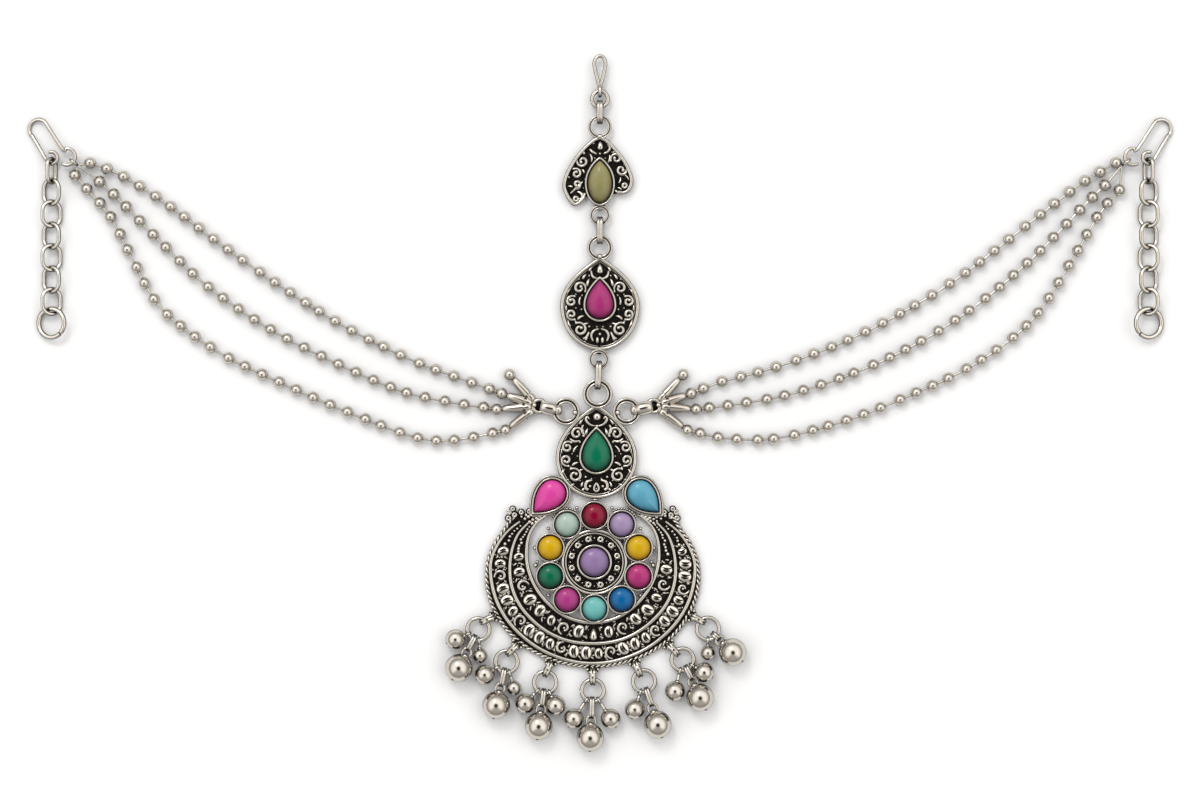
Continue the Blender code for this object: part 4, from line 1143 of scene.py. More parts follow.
@dataclass
class Rosette:
    """The disc with its granules and the ten round settings soldered round it."""

    disc: float = 10.0
    ring: float = 13.9
    stone: float = 3.55
    centre_stone: float = 4.3
    count: int = 10

    def place(self, i: int) -> Flat:
        """The middle of a round setting, counted anticlockwise from the top."""
        turn = 2 * pi * i / self.count
        return -self.ring * sin(turn), self.ring * cos(turn)

    def shape(self, i: int) -> Drop:
        """The outline of a round stone."""
        return Drop.round(self.stone, self.place(i))

    def middle_shape(self) -> Drop:
        """The outline of the big stone in the middle."""
        return Drop.round(self.centre_stone, (0.0, 0.0))

    def cast(self, work: Work) -> None:
        """Adds the rosette to a piece.

        Args:
            work: The piece under work.
        """
        work.plate(arc((0, 0), self.disc - 0.1, count=48), 0.0, 1.5)
        work.plate(arc((0, 0), self.disc - 0.15, count=48), 0.05, 1.2, Part.RELIEF)
        work.wire(at_height(arc((0, 0), self.disc - 0.52, count=48), 2.15), 0.48, closed=True)
        work.wire(at_height(arc((0, 0), self.disc - 1.38, count=48), 1.75), 0.30, closed=True)
        Setting(self.middle_shape(), 0.36, 2.95).cast(work)
        dice = Random(3)
        for k in range(12):
            turn = 2 * pi * (k + 0.5) / 12
            at = (7.0 * sin(turn), 7.0 * cos(turn), 1.5)
            work.pit(at, 1.08)
            for half, reach in ((0.25, 7.75), (0.25, 6.4), (0.5, 7.2)):
                grain = 2 * pi * (k + 0.5 + half) / 12
                at = (reach * sin(grain), reach * cos(grain), 1.6)
                work.ball(at, dice.uniform(0.2, 0.32), steps=(8, 5))
        for i in range(self.count):
            Setting(self.shape(i)).cast(work)
        for i in range(self.count):
            turn = 2 * pi * (i + 0.5) / self.count
            for reach in (self.ring + 3.15, self.ring - 2.6):
                if reach > self.ring and i in (4, 5):
                    continue
                at = (-reach * sin(turn), reach * cos(turn), 1.5)
                work.ball(at, 0.55)
        for i, first, last in ((1, 60, 150), (9, 30, 120)):
            x, y = self.place(i)
            for px, py in arc((x, y), 4.75, first, last, 9):
                work.grain((px, py, 1.6), 0.42)
        for side in (-1, 1):
            for at in ((side * 17.75, 4.2, 1.6), (side * 17.6, -1.0, 1.6)):
                work.ball(at, 0.7)


@dataclass
class MainPendant:
    """The big lower pendant: teardrop, side settings, rosette, crescent, rings and fringe eyes."""

    metals: Metals
    crescent: Crescent = field(default_factory=Crescent)
    rosette: Rosette = field(default_factory=Rosette)
    plate: Drop = Drop(12.2, 16.1, 12.5, (0.6, 31.4))
    stone: Drop = Drop(4.25, 8.0, 4.2, (0.6, 31.4))
    side_size: tuple[float, float, float] = (4.0, 7.6, 4.0)
    shoulder: Flat = (9.1, 45.04)
    side_at: Flat = (13.195, 20.523)

    def side_shape(self, side: int) -> Drop:
        """The outline of a side stone, its tip turned down and out."""
        x, y = self.side_at
        return Drop(*self.side_size, (self.plate.centre[0] + side * x, y), -side * 135.0)

    def relief(self) -> Relief:
        """The cast ornament of the teardrop's ground.

        Returns:
            The relief.
        """
        return Relief(
            self.plate.centre,
            scrolls=(
                Scroll(5.9, 7.1, 2.15, 200, -1.2), Scroll(8.7, 3.0, 1.85, 130, -1.2),
                Scroll(9.0, -0.9, 1.85, 250, 1.2), Scroll(6.5, -5.5, 2.3, 60, 1.2),
            ),
            leaves=(
                Leaf(2.75, 7.7, 1.9, 10, 0.62), Leaf(4.5, 10.6, 1.7, 35, 0.5), Leaf(2.4, 13.0, 1.3, 60, 0.55),
                Leaf(6.2, 2.5, 2.3, 35, 0.42), Leaf(6.2, -2.0, 2.2, 65, 0.46), Leaf(9.9, -4.3, 1.6, 25, 0.5),
                Leaf(7.3, -8.5, 1.7, 50, 0.55), Leaf(8.7, 6.6, 2.0, 50, 0.5), Leaf(4.2, -8.1, 1.4, 20, 0.42),
                Leaf(4.1, 8.6, 1.8, -15, 0.4), Leaf(8.9, -6.9, 1.3, 70, 0.4), Leaf(10.3, 2.0, 1.6, 8, 0.34),
                Leaf(4.5, -3.9, 1.5, 60, 0.4),
            ),
            granules=((3.2, -5.9, 0.46), (4.9, 4.5, 0.44), (3.9, 11.9, 0.36), (7.3, 5.0, 0.34),
                      (5.6, 0.3, 0.36), (7.3, 1.0, 0.3), (9.5, 5.2, 0.3), (7.6, -3.1, 0.36), (4.9, -7.0, 0.3),
                      (5.9, 9.5, 0.3), (1.5, -6.4, 0.3)),
            lines=(
                ((0.0, 9.3), (1.4, 9.5), (2.6, 10.3), (3.2, 11.5), (2.7, 12.1), (2.2, 11.5)),
                ((3.9, 9.6), (4.5, 8.2), (3.8, 6.9), (3.5, 6.2)),
                ((5.0, 4.9), (6.6, 4.7), (7.9, 5.5)),
            ),
        )

    def build(self, fringe: "Fringe") -> bpy.types.Object:
        """Makes the piece.

        Args:
            fringe: Where its eyes and their places are read.

        Returns:
            The finished object.
        """
        work = Work("main_pendant", self.metals.slots)
        self.crescent.cast(work)
        self.rosette.cast(work)
        work.plates(self.plate, self.stone, 1.35)
        self.relief().cast(work)
        x, y = self.plate.centre
        work.ball((x + 0.2, y + 12.1, 1.9), 1.3, (1, 1, 0.8), steps=(16, 10))
        work.grain((x + 0.2, y + 12.0, 2.92), 0.24, Part.GROUND)
        work.ball((x + 0.2, y + 9.3, 1.9), 0.6, steps=(10, 7))
        self.fleur(work, x, y - 9.3)
        for side in (-1, 1):
            Setting(self.side_shape(side), 0.30, 2.9, outer_wire=0.34).cast(work)
            self.shoulder_ring(work, side)
        work.grooved((1.0, 50.3, RING_HEIGHT), 4.5, 1.8)
        work.plate(arc((0.2, 18.65), 0.75, count=12), 0.4, 1.9)
        work.ball((0.2, 18.65, 1.9), 0.6, (1.2, 0.8, 0.7))
        for index in range(len(fringe.groups)):
            self.fringe_eye(work, fringe, index)
        return work.finish("main_pendant_frame")

    def fleur(self, work: Work, x: float, y: float) -> None:
        """Adds the small flower at the foot of the teardrop.

        Args:
            work: The piece under work.
            x: Its middle.
            y: Its middle.
        """
        petal = [(x, y + 1.5), (x - 0.75, y - 0.1), (x, y - 1.0), (x + 0.75, y - 0.1)]
        work.wire(at_height(flow(petal, 5, closed=True), 1.9), 0.34, closed=True)
        work.grain((x, y - 0.15, 1.7), 0.3)
        for side in (-1, 1):
            path = [(x + side * 1.3, y + 2.5), (x + side * 2.9, y + 1.9), (x + side * 3.3, y + 0.3),
                    (x + side * 2.5, y - 0.5)]
            work.wire(at_height(flow(path, 5), 1.85), (0.3, 0.55, 0.5, 0.55))
            work.ball((x + side * 1.9, y + 0.6, 1.75), 0.5, steps=(10, 7))
            work.ball((x + side * 4.0, y - 0.4, 1.75), 0.55, (0.8, 1.3, 0.8), side * 40, (10, 7))

    def shoulder_ring(self, work: Work, side: int) -> None:
        """Adds a ring of doubled wire on the teardrop's shoulder, its end bead at the join.

        Args:
            work: The piece under work.
            side: Which shoulder, -1 or 1.
        """
        at = (self.plate.centre[0] + side * self.shoulder[0], self.shoulder[1], RING_HEIGHT)
        work.grooved(at, 4.2, 1.75)
        work.ball((at[0] - side * 2.75, at[1] - 0.3, 2.6), 0.85, steps=(12, 8))

    def fringe_eye(self, work: Work, fringe: "Fringe", index: int) -> None:
        """Adds an upright eye on the crescent's edge, on a dark tab between granules.

        Args:
            work: The piece under work.
            fringe: The fringe that hangs there.
            index: The group, counted from the left.
        """
        angle = fringe.groups[index][0]
        eye = fringe.eye(index)
        out = heading(angle)
        aside = Vector((out.y, -out.x, 0.0))
        for shift in (-0.42, 0.42):
            work.ring(eye + aside * shift, fringe.eye_radius, 0.82, angle - 90, upright=True,
                      stretch=fringe.eye_draw)
        knob = eye + out * 0.25
        knob.z = 3.15
        work.ball(knob, 1.15, (1.45, 1.0, 0.75), angle - 90, (14, 9))
        work.grain(knob + up(0.80), 0.30, Part.GROUND)
        root = eye - out * (fringe.eye_radius + fringe.eye_draw / 2 - 0.6)
        root.z = 1.2
        work.ball(root, 1.7, (1.15, 0.95, 0.6), angle, part=Part.GROUND)
        for shift, reach in ((-1.55, 0.1), (1.55, 0.1), (-0.85, 0.9), (0.85, 0.9), (0.0, -0.3)):
            spot = root + aside * shift + out * reach
            spot.z = 1.75
            work.grain(spot, 0.56)


@dataclass
class MidPendant:
    """The pear-shaped middle pendant."""

    metals: Metals
    plate: Drop = Drop(11.9, 14.7, 13.6, (1.65, 76.85))
    stone: Drop = Drop(4.0, 7.5, 4.0, (1.65, 76.85))
    ring_at: Place = (1.65, 94.1, RING_HEIGHT)
    eye_at: Place = (1.35, 60.65, RING_HEIGHT)

    def relief(self) -> Relief:
        """The cast ornament of the pear's ground.

        Returns:
            The relief.
        """
        return Relief(
            self.plate.centre,
            scrolls=(
                Scroll(6.1, 5.2, 2.05, 210, -1.2), Scroll(8.5, 1.2, 1.75, 120, -1.2),
                Scroll(8.5, -2.7, 1.75, 240, 1.2), Scroll(6.0, -7.2, 2.2, 60, 1.2),
            ),
            leaves=(
                Leaf(3.4, 6.9, 2.1, 12, 0.6), Leaf(4.6, 8.6, 1.7, 35, 0.5), Leaf(2.7, 10.9, 1.5, 35, 0.45),
                Leaf(5.9, 1.4, 2.3, 5, 0.42), Leaf(9.4, 4.2, 1.7, 40, 0.5), Leaf(5.7, -3.6, 2.1, 60, 0.46),
                Leaf(9.2, -5.4, 1.9, -20, 0.5), Leaf(3.8, -9.7, 1.7, 30, 0.5), Leaf(7.7, 7.4, 1.6, 45, 0.42),
                Leaf(10.0, -0.7, 1.5, 0, 0.4), Leaf(7.9, -8.4, 1.5, -35, 0.42), Leaf(4.2, -5.6, 1.4, 70, 0.4),
            ),
            granules=((3.2, 8.9, 0.36), (5.3, 3.0, 0.36), (1.4, 8.3, 0.34), (5.5, -1.2, 0.36),
                      (3.2, -6.3, 0.42), (4.6, -10.9, 0.4), (6.3, 7.9, 0.34), (0.9, -6.4, 0.34),
                      (7.2, 3.3, 0.3), (7.3, -4.8, 0.34), (7.2, -0.8, 0.3), (4.6, 10.0, 0.3)),
            lines=(
                ((0.0, 8.0), (1.3, 8.1), (2.3, 8.9), (2.6, 10.3)),
                ((0.4, -7.0), (1.9, -7.6), (2.6, -9.0), (2.1, -10.6)),
                ((3.3, -8.0), (4.0, -9.4), (5.0, -10.0)),
            ),
        )

    def build(self) -> bpy.types.Object:
        """Makes the piece.

        Returns:
            The finished object.
        """
        work = Work("mid_pendant", self.metals.slots)
        work.plates(self.plate, self.stone, 1.3)
        self.relief().cast(work)
        x, y = self.plate.centre
        work.bud(x, y + 10.8, 1.2)
        for shift in (-0.75, 0.75):
            work.ball((x + shift, y - 10.4, 1.9), 0.72, (0.75, 1.5, 0.9), steps=(12, 8))
        work.ball((x, y - 8.6, 1.8), 0.5, steps=(10, 7))
        work.ball((x, y + 14.6, 2.5), 0.85, steps=(14, 9))
        work.grooved(self.ring_at, 3.9, 1.5)
        work.grooved(self.eye_at, 3.1, 1.15)
        work.plate(arc((x - 0.2, y - 13.4), 1.3, count=14), 0.5, 1.9)
        return work.finish("mid_pendant_frame")


@dataclass
class TopPendant:
    """The top pendant: a leaf-shaped cap over a marquise setting."""

    metals: Metals
    stone: Drop = Drop(3.6, 6.7, 5.9, (1.65, 113.4), point=0.85)
    reach: float = 11.3
    ring_at: Place = (1.65, 130.21, RING_HEIGHT)
    eye_at: Place = (1.65, 103.8, RING_HEIGHT)
    sections: Sequence[Flat] = (
        (-133, 0.80), (-130, 0.92), (-120, 0.945), (-112, 0.965), (-95, 1.0), (-76, 0.956), (-49, 0.950),
        (-24, 1.06), (-9, 1.19), (0, 1.28), (9, 1.18), (24, 1.03), (47, 0.920), (72, 0.890), (88, 0.885),
        (102, 0.83), (111, 0.74), (116, 0.60),
    )

    def outline(self, inset: float) -> list[Flat]:
        """The cap's outer edge.

        Args:
            inset: How far it is drawn in.

        Returns:
            Flat points from its left tip over the peak to its right one.
        """
        x, y = self.stone.centre
        points = []
        for angle, share in self.sections:
            turn = radians(angle)
            reach = self.reach * share - inset * (1.4 if angle == 0 else 1.0)
            points.append((x + reach * sin(turn), y + reach * cos(turn)))
        peak = [angle for angle, _ in self.sections].index(0)
        return [(p.x, p.y) for p in flow(points[:peak + 1], 4) + flow(points[peak:], 4)[1:]]

    def relief(self) -> Relief:
        """The cast ornament of the cap's ground, which differs left and right.

        Returns:
            The relief.
        """
        return Relief(
            self.stone.centre,
            mirrored=False,
            scrolls=(
                Scroll(-5.2, 6.6, 1.85, 160, 1.15), Scroll(-7.1, 2.9, 1.65, 120, -1.1),
                Scroll(-6.9, -0.3, 1.45, 250, 1.0), Scroll(4.9, 7.4, 1.8, 200, -1.1),
                Scroll(6.4, 4.0, 1.9, 60, -1.2), Scroll(-6.3, -4.2, 1.7, 100, -0.5, 0.3),
            ),
            leaves=(
                Leaf(-2.7, 7.6, 2.4, 12, 0.4), Leaf(2.7, 7.4, 2.2, -12, 0.4), Leaf(-5.2, 9.3, 1.5, 40),
                Leaf(-8.4, 5.6, 1.4, 10), Leaf(-5.0, 3.6, 1.3, 30, 0.36), Leaf(-8.9, -1.0, 1.3, 80, 0.36),
                Leaf(8.0, 1.8, 2.0, 40, 0.32), Leaf(5.9, 0.9, 1.7, -20, 0.36), Leaf(5.9, -1.6, 1.3, 60, 0.3),
                Leaf(4.4, 9.6, 1.3, -60, 0.3), Leaf(-9.6, 1.9, 1.2, 60, 0.3),
            ),
            granules=((-1.9, 12.0, 0.4), (0.0, 8.9, 0.42), (-1.5, 7.5, 0.26), (1.6, 7.5, 0.24),
                      (8.1, 3.4, 0.34), (7.8, -2.4, 0.36), (-4.9, -1.4, 0.28), (-4.4, 1.2, 0.3),
                      (3.7, 9.3, 0.28), (8.9, 0.0, 0.28)),
            pits=((-7.2, -4.7, 1.1), (7.4, -0.7, 1.1)),
            lines=(
                ((-3.0, 10.2), (-2.2, 9.4), (-1.0, 8.8)), ((1.2, 8.9), (2.5, 9.6), (3.0, 10.8), (2.3, 11.7)),
                ((-5.2, 0.4), (-6.6, -1.0), (-8.8, -3.0)), ((-5.2, -2.9), (-4.9, -4.0), (-5.9, -5.6)),
            ),
        )

    def build(self) -> bpy.types.Object:
        """Makes the piece.

        Returns:
            The finished object.
        """
        work = Work("top_pendant", self.metals.slots)
        x, y = self.stone.centre
        edge = self.outline(0.1)
        inner = [(x + 3.7, y - 3.2), (x + 1.5, y - 3.0), (x - 1.5, y - 3.0), (x - 4.2, y - 4.0)]
        work.plate(edge + inner, 0.1, 1.5)
        rim = at_height(self.outline(0.58), 2.1)
        work.wire(rim, 0.56)
        work.wire(at_height(self.outline(0.28), 1.2), 0.28)
        left = [rim[0], (x - 6.6, y - 6.0, 2.1), (x - 5.0, y - 4.4, 2.0), (x - 4.4, y - 3.0, 1.9)]
        right = [rim[-1], (x + 5.4, y - 2.7, 2.0), (x + 4.6, y - 2.2, 1.9)]
        for path in (left, right):
            work.wire(flow(path, 5), (0.56, 0.45, 0.4))
            work.ball(path[0], 0.56, steps=(12, 8))
        Setting(self.stone, 0.32, 2.9).cast(work)
        self.relief().cast(work)
        work.bud(x + 0.1, y + 11.2, 1.1)
        work.ball((x, y + 14.0, 2.3), 0.8, (1.15, 0.9, 0.9), steps=(12, 8))
        work.grooved(self.ring_at, 3.6, 1.2)
        work.grooved(self.eye_at, 3.1, 1.15)
        work.plate(arc((x, y - 6.6), 1.5, count=14), 0.5, 1.9)
        work.ball((x, y - 7.6, 2.0), 0.9, (1.2, 0.7, 0.6))
        return work.finish("top_pendant_frame")


@dataclass(frozen=True)
class Link:
    """An upright link between two points, shown as two rounded wires side by side."""

    node: str
    start: Place
    end: Place
    inner: float = 2.3
    wire: float = 1.25
    breadth: float = 1.9

    def build(self, metals: Metals) -> bpy.types.Object:
        """Makes the link.

        Args:
            metals: The metal finishes.

        Returns:
            The finished object.
        """
        work = Work(self.node + "_wire", metals.slots)
        start, end = Vector(self.start), Vector(self.end)
        span = end - start
        turn = degrees(atan2(span.y, span.x))
        aside = Vector((-span.y, span.x, 0.0)).normalized()
        radius = self.inner / 2 + self.wire
        stretch = span.length - self.inner
        strand = self.breadth / 2
        thick = min(self.wire, strand * 1.12)
        middle = (start + end) / 2
        spot = Matrix.Rotation(radians(turn), 4, "Z") @ Matrix.Rotation(pi / 2, 4, "X")
        shift = aside * max(strand - thick / 2, thick * 0.30)
        loop = oval(radius - thick / 2, stretch, 6, 366, 36)
        for side in (-1, 1):
            work.wire([middle + spot @ point + shift * side for point in loop], thick / 2, closed=True)
        return work.finish(self.node)


@dataclass
class TopHook:
    """The long loop at the top with its eye, and the small ring that it holds."""

    metals: Metals
    ring_at: Place = (1.65, 138.56, RING_HEIGHT)
    wire: float = 1.1
    length: float = 10.05
    half: float = 1.7

    def build(self) -> None:
        """Makes the hook and the ring."""
        x, y, z = self.ring_at
        work = Work("top_hook_wire", self.metals.slots)
        eye = (x, y + 2.4, z)
        work.ring(eye, 2.0, self.wire, 90, upright=True)
        low = y + 2.4 + 2.05 - self.wire
        top = low + self.length - self.wire / 2
        path = [
            (x - 0.2, low + 0.5, z), (x - 0.75, low + 2.6, z), (x - 1.45, low + 5.6, z),
            (x - self.half, top - 2.0, z), (x - 1.1, top - 0.5, z), (x, top, z), (x + 1.1, top - 0.5, z),
            (x + self.half, top - 2.0, z), (x + 1.45, low + 5.6, z), (x + 0.75, low + 2.6, z),
            (x + 0.2, low + 0.5, z),
        ]
        work.wire(flow(path, 5), self.wire / 2)
        work.ball((x, low + 0.6, z), 0.95, (1.1, 0.9, 0.9), part=Part.POLISHED)
        work.finish("top_hook")
        ring = Work("top_hook_ring_wire", self.metals.slots)
        ring.ring(self.ring_at, 3.0, 1.2, gap=5, gap_at=200)
        ring.finish("top_hook_ring")


@dataclass
class Wing:
    """One side of the jewel: connector, fan, three strands, hook, gather ring, chain and end ring."""

    metals: Metals
    side: int
    routes: dict[str, Sequence[Flat]]
    mirror: float = 1.7
    shoulder: Place = (9.1, 45.04, RING_HEIGHT)
    centre: float = 0.6
    angle: float = 11.6
    eye_radius: float = 2.65
    reach: float = 13.0
    bars: Sequence[Flat] = ((35.0, 1.0), (7.0, 0.92), (-16.0, 0.99), (-47.0, 0.96))
    bead: float = 1.85
    pitch: float = 5.62
    hook_eye: Flat = (-157.9, 121.3)
    chain_eye: Flat = (-4.6, -0.3)
    gather_turn: float = -38.0
    chain_height: float = 2.375
    link_wire: float = 0.6
    rest: float = 2.3
    connector_length: float = 6.92

    @property
    def word(self) -> str:
        """Which side it is."""
        return "left" if self.side < 0 else "right"

    def across(self, x: float) -> float:
        """A left-hand place, or its mirror image on the right."""
        return x if self.side < 0 else 2 * self.mirror - x

    def line(self, more: float = 0.0) -> Vector:
        """The direction of the connector, or of a bar turned from it by degrees."""
        turn = radians(self.angle + more)
        return Vector((self.side * cos(turn), sin(turn), 0.0))

    def shoulder_ring(self) -> Vector:
        """The middle of the shoulder ring that the connector hangs on."""
        return Vector((self.centre + self.side * self.shoulder[0], *self.shoulder[1:]))

    def fan_eye(self) -> Vector:
        """The middle of the fan's eye."""
        return self.shoulder_ring() + self.line() * (self.rest + 4.5 - 0.3 + 1.65)

    def build(self) -> None:
        """Makes every piece of the side."""
        self.build_connector(self.shoulder_ring() + self.line() * (self.rest + 2.25))
        self.build_fan()
        for name, route in self.routes.items():
            self.build_strand(name, route)
        self.build_hook()
        self.build_chain()

    def build_connector(self, middle: Vector) -> None:
        """Makes the barrel-shaped link between shoulder ring and fan.

        Args:
            middle: Its middle.
        """
        work = Work(f"{self.word}_connector_barrel", self.metals.slots)
        profile = [
            (0.0, 0.0), (0.04, 0.9), (0.35, 1.35), (0.9, 1.6), (1.5, 1.62), (1.7, 1.45), (1.9, 1.5),
            (2.2, 1.85), (3.0, 1.98), (4.6, 1.98), (5.8, 1.90), (6.5, 1.62), (6.8, 1.2), (6.9, 0.7),
            (self.connector_length, 0.0),
        ]
        along = self.line() * self.connector_length
        work.turned(profile, middle - along / 2, middle + along / 2, 24)
        work.finish(f"{self.word}_connector")

    def fan_bead(self, bar: int) -> Vector:
        """The middle of a bar's end bead.

        Args:
            bar: The bar, counted from the top.

        Returns:
            The point.
        """
        angle, share = self.bars[bar]
        flat = self.fan_eye() + self.line(angle) * self.reach * share
        return Vector((flat.x, flat.y, self.bead))

    def build_fan(self) -> None:
        """Makes the fan: four turned bars on one eye, each with its bead."""
        work = Work(f"{self.word}_fan_bars", self.metals.slots)
        eye = self.fan_eye()
        for bar in range(len(self.bars)):
            bead = self.fan_bead(bar)
            along = (bead - eye).normalized()
            start = eye + along * 2.2
            length = (bead - start).length
            profile = [
                (0.0, 0.0), (0.05, 0.7), (0.4, 1.12), (1.0, 1.30), (2.0, 1.28), (2.15, 0.86),
                (2.65, 0.86), (2.8, 1.32), (length * 0.55, 1.32), (length - 2.9, 1.18),
                (length - 2.0, 1.02), (length - 1.7, 0.6), (length - 1.6, 0.0),
            ]
            work.ball(bead - along * 1.6, 0.72, part=Part.GROUND)
            work.turned(profile, start, bead, 16)
            work.ball(bead, 1.78, steps=(18, 12), part=Part.POLISHED)
        work.ring(eye, self.eye_radius - 0.2, 1.1)
        # Painted shade: a flattened dark ball in the ground finish under the eye stands for the shade where
        # the bars gather
        work.ball(eye - up(0.6), 1.5, (1, 1, 0.5), part=Part.GROUND)
        work.ball(eye + self.line() * 1.5 + up(0.3), 0.8)
        work.finish(f"{self.word}_fan")

    def gather(self) -> Vector:
        """The middle of the gather ring.

        Returns:
            The point.
        """
        turn = radians(self.gather_turn)
        out = 2.5 + 1.7 - 0.7 - 0.575 - 0.3
        x, y = self.hook_eye[0] + out * cos(turn), self.hook_eye[1] + out * sin(turn)
        return Vector((self.across(x), y, self.chain_height))

    def build_strand(self, name: str, route: Sequence[Flat]) -> None:
        """Makes a strand of ball beads on thin rods.

        Args:
            name: The CAD node of the strand.
            route: Its route from fan to gather ring.
        """
        work = Work(name + "_beads", self.metals.slots)
        bar = {"upper": 1, "middle": 2, "lower": 3}[name.split("_")[-1]]
        height = self.bead + 0.02
        bead = self.fan_bead(bar)
        first = Vector((*route[0], height))
        towards = (first - bead).normalized()
        start = bead + towards * (1.8 + 0.3 + self.bead)
        knots = [Vector((*point, height)) for point in route]
        if (knots[0] - start).length < self.pitch * 0.6:
            knots = knots[1:]
        turn = radians(self.gather_turn)
        out = Vector((-self.side * cos(turn), sin(turn), 0.0))
        end = self.gather() + out * 1.7
        path = flow([start] + knots, 24)
        length = sum((b - a).length for a, b in zip(path, path[1:]))
        step = length / round(length / self.pitch)
        beads, walked = [path[0]], 0.0
        for a, b in zip(path, path[1:]):
            walked += (b - a).length
            if walked >= step - 0.02:
                beads.append(b)
                walked -= step
        for spot in beads:
            work.ball(spot, self.bead - 0.03, steps=(16, 10), part=Part.POLISHED)
        rod = [bead + towards * 1.6, *beads, end + (beads[-1] - end).normalized() * 0.5]
        work.wire(rod, 0.32)
        work.finish(name)

    def build_hook(self) -> None:
        """Makes the bent wire hook and the gather ring."""
        work = Work(f"{self.word}_hook_wire", self.metals.slots)
        ex, ey = self.hook_eye
        chain_eye = (ex + self.chain_eye[0], ey + self.chain_eye[1])
        loop = (ex + 12.0 * cos(radians(136)), ey + 12.0 * sin(radians(136)))
        flat = arc(chain_eye, 1.8, 105, -170, 12) + arc(loop, 2.9, 226 + 8, 226 - 188, 12)
        flat += arc((ex, ey), 2.5, 118, -115, 10)
        far, near = min(x for x, _ in flat), chain_eye[0]
        path = []
        for x, y in flat:
            share = min(max((near - x) / (near - far), 0.0), 1.0)
            path.append((self.across(x), y, self.chain_height + (0.625 - self.chain_height) * share))
        work.wire(flow(path, 3), 0.56)
        work.ball(path[0], 0.58, part=Part.POLISHED)
        work.ball(path[-1], 0.58, part=Part.POLISHED)
        work.finish(f"{self.word}_hook")
        ring = Work(f"{self.word}_gather_ring_wire", self.metals.slots)
        turn = self.gather_turn if self.side < 0 else 180 - self.gather_turn
        ring.ring(self.gather(), 1.7, 0.7, turn, upright=True)
        ring.finish(f"{self.word}_gather_ring")

    def build_chain(self) -> None:
        """Makes the extender chain, its links tilted by turns, and the end ring."""
        work = Work(f"{self.word}_extender_links", self.metals.slots)
        x, y = self.hook_eye[0] + self.chain_eye[0], self.hook_eye[1] + self.chain_eye[1]
        top = y - 1.8 + 0.575 + 0.3 + 1.2
        sizes = [(8.3, 5.0)] + [(8.7, 6.9)] * 6
        for i, (length, width) in enumerate(sizes):
            tilt = 30.0 if i % 2 else -(30.0 if i else 60.0)
            at = (self.across(x), top - length / 2, self.chain_height)
            turned = Matrix.Translation(at) @ Matrix.Rotation(radians(self.side * tilt), 4, "Y")
            turned = turned @ Matrix.Rotation(pi / 2, 4, "Z")
            loop = oval(width / 2 - self.link_wire, length - width, 5, 365, 36)
            work.wire([turned @ point for point in loop], 0.62, closed=True)
            low = top - length
            top = low + 2.4 - 0.25
        work.finish(f"{self.word}_extender")
        end = Work(f"{self.word}_end_ring_wire", self.metals.slots)
        at = (self.across(x), low + 1.2 + 0.3 + 1.4 - 5.0, self.chain_height)
        end.ring(at, 5.0, 1.4, tilt=self.side * 20.0, gap=6, gap_at=-45 if self.side < 0 else 225)
        end.finish(f"{self.word}_end_ring")


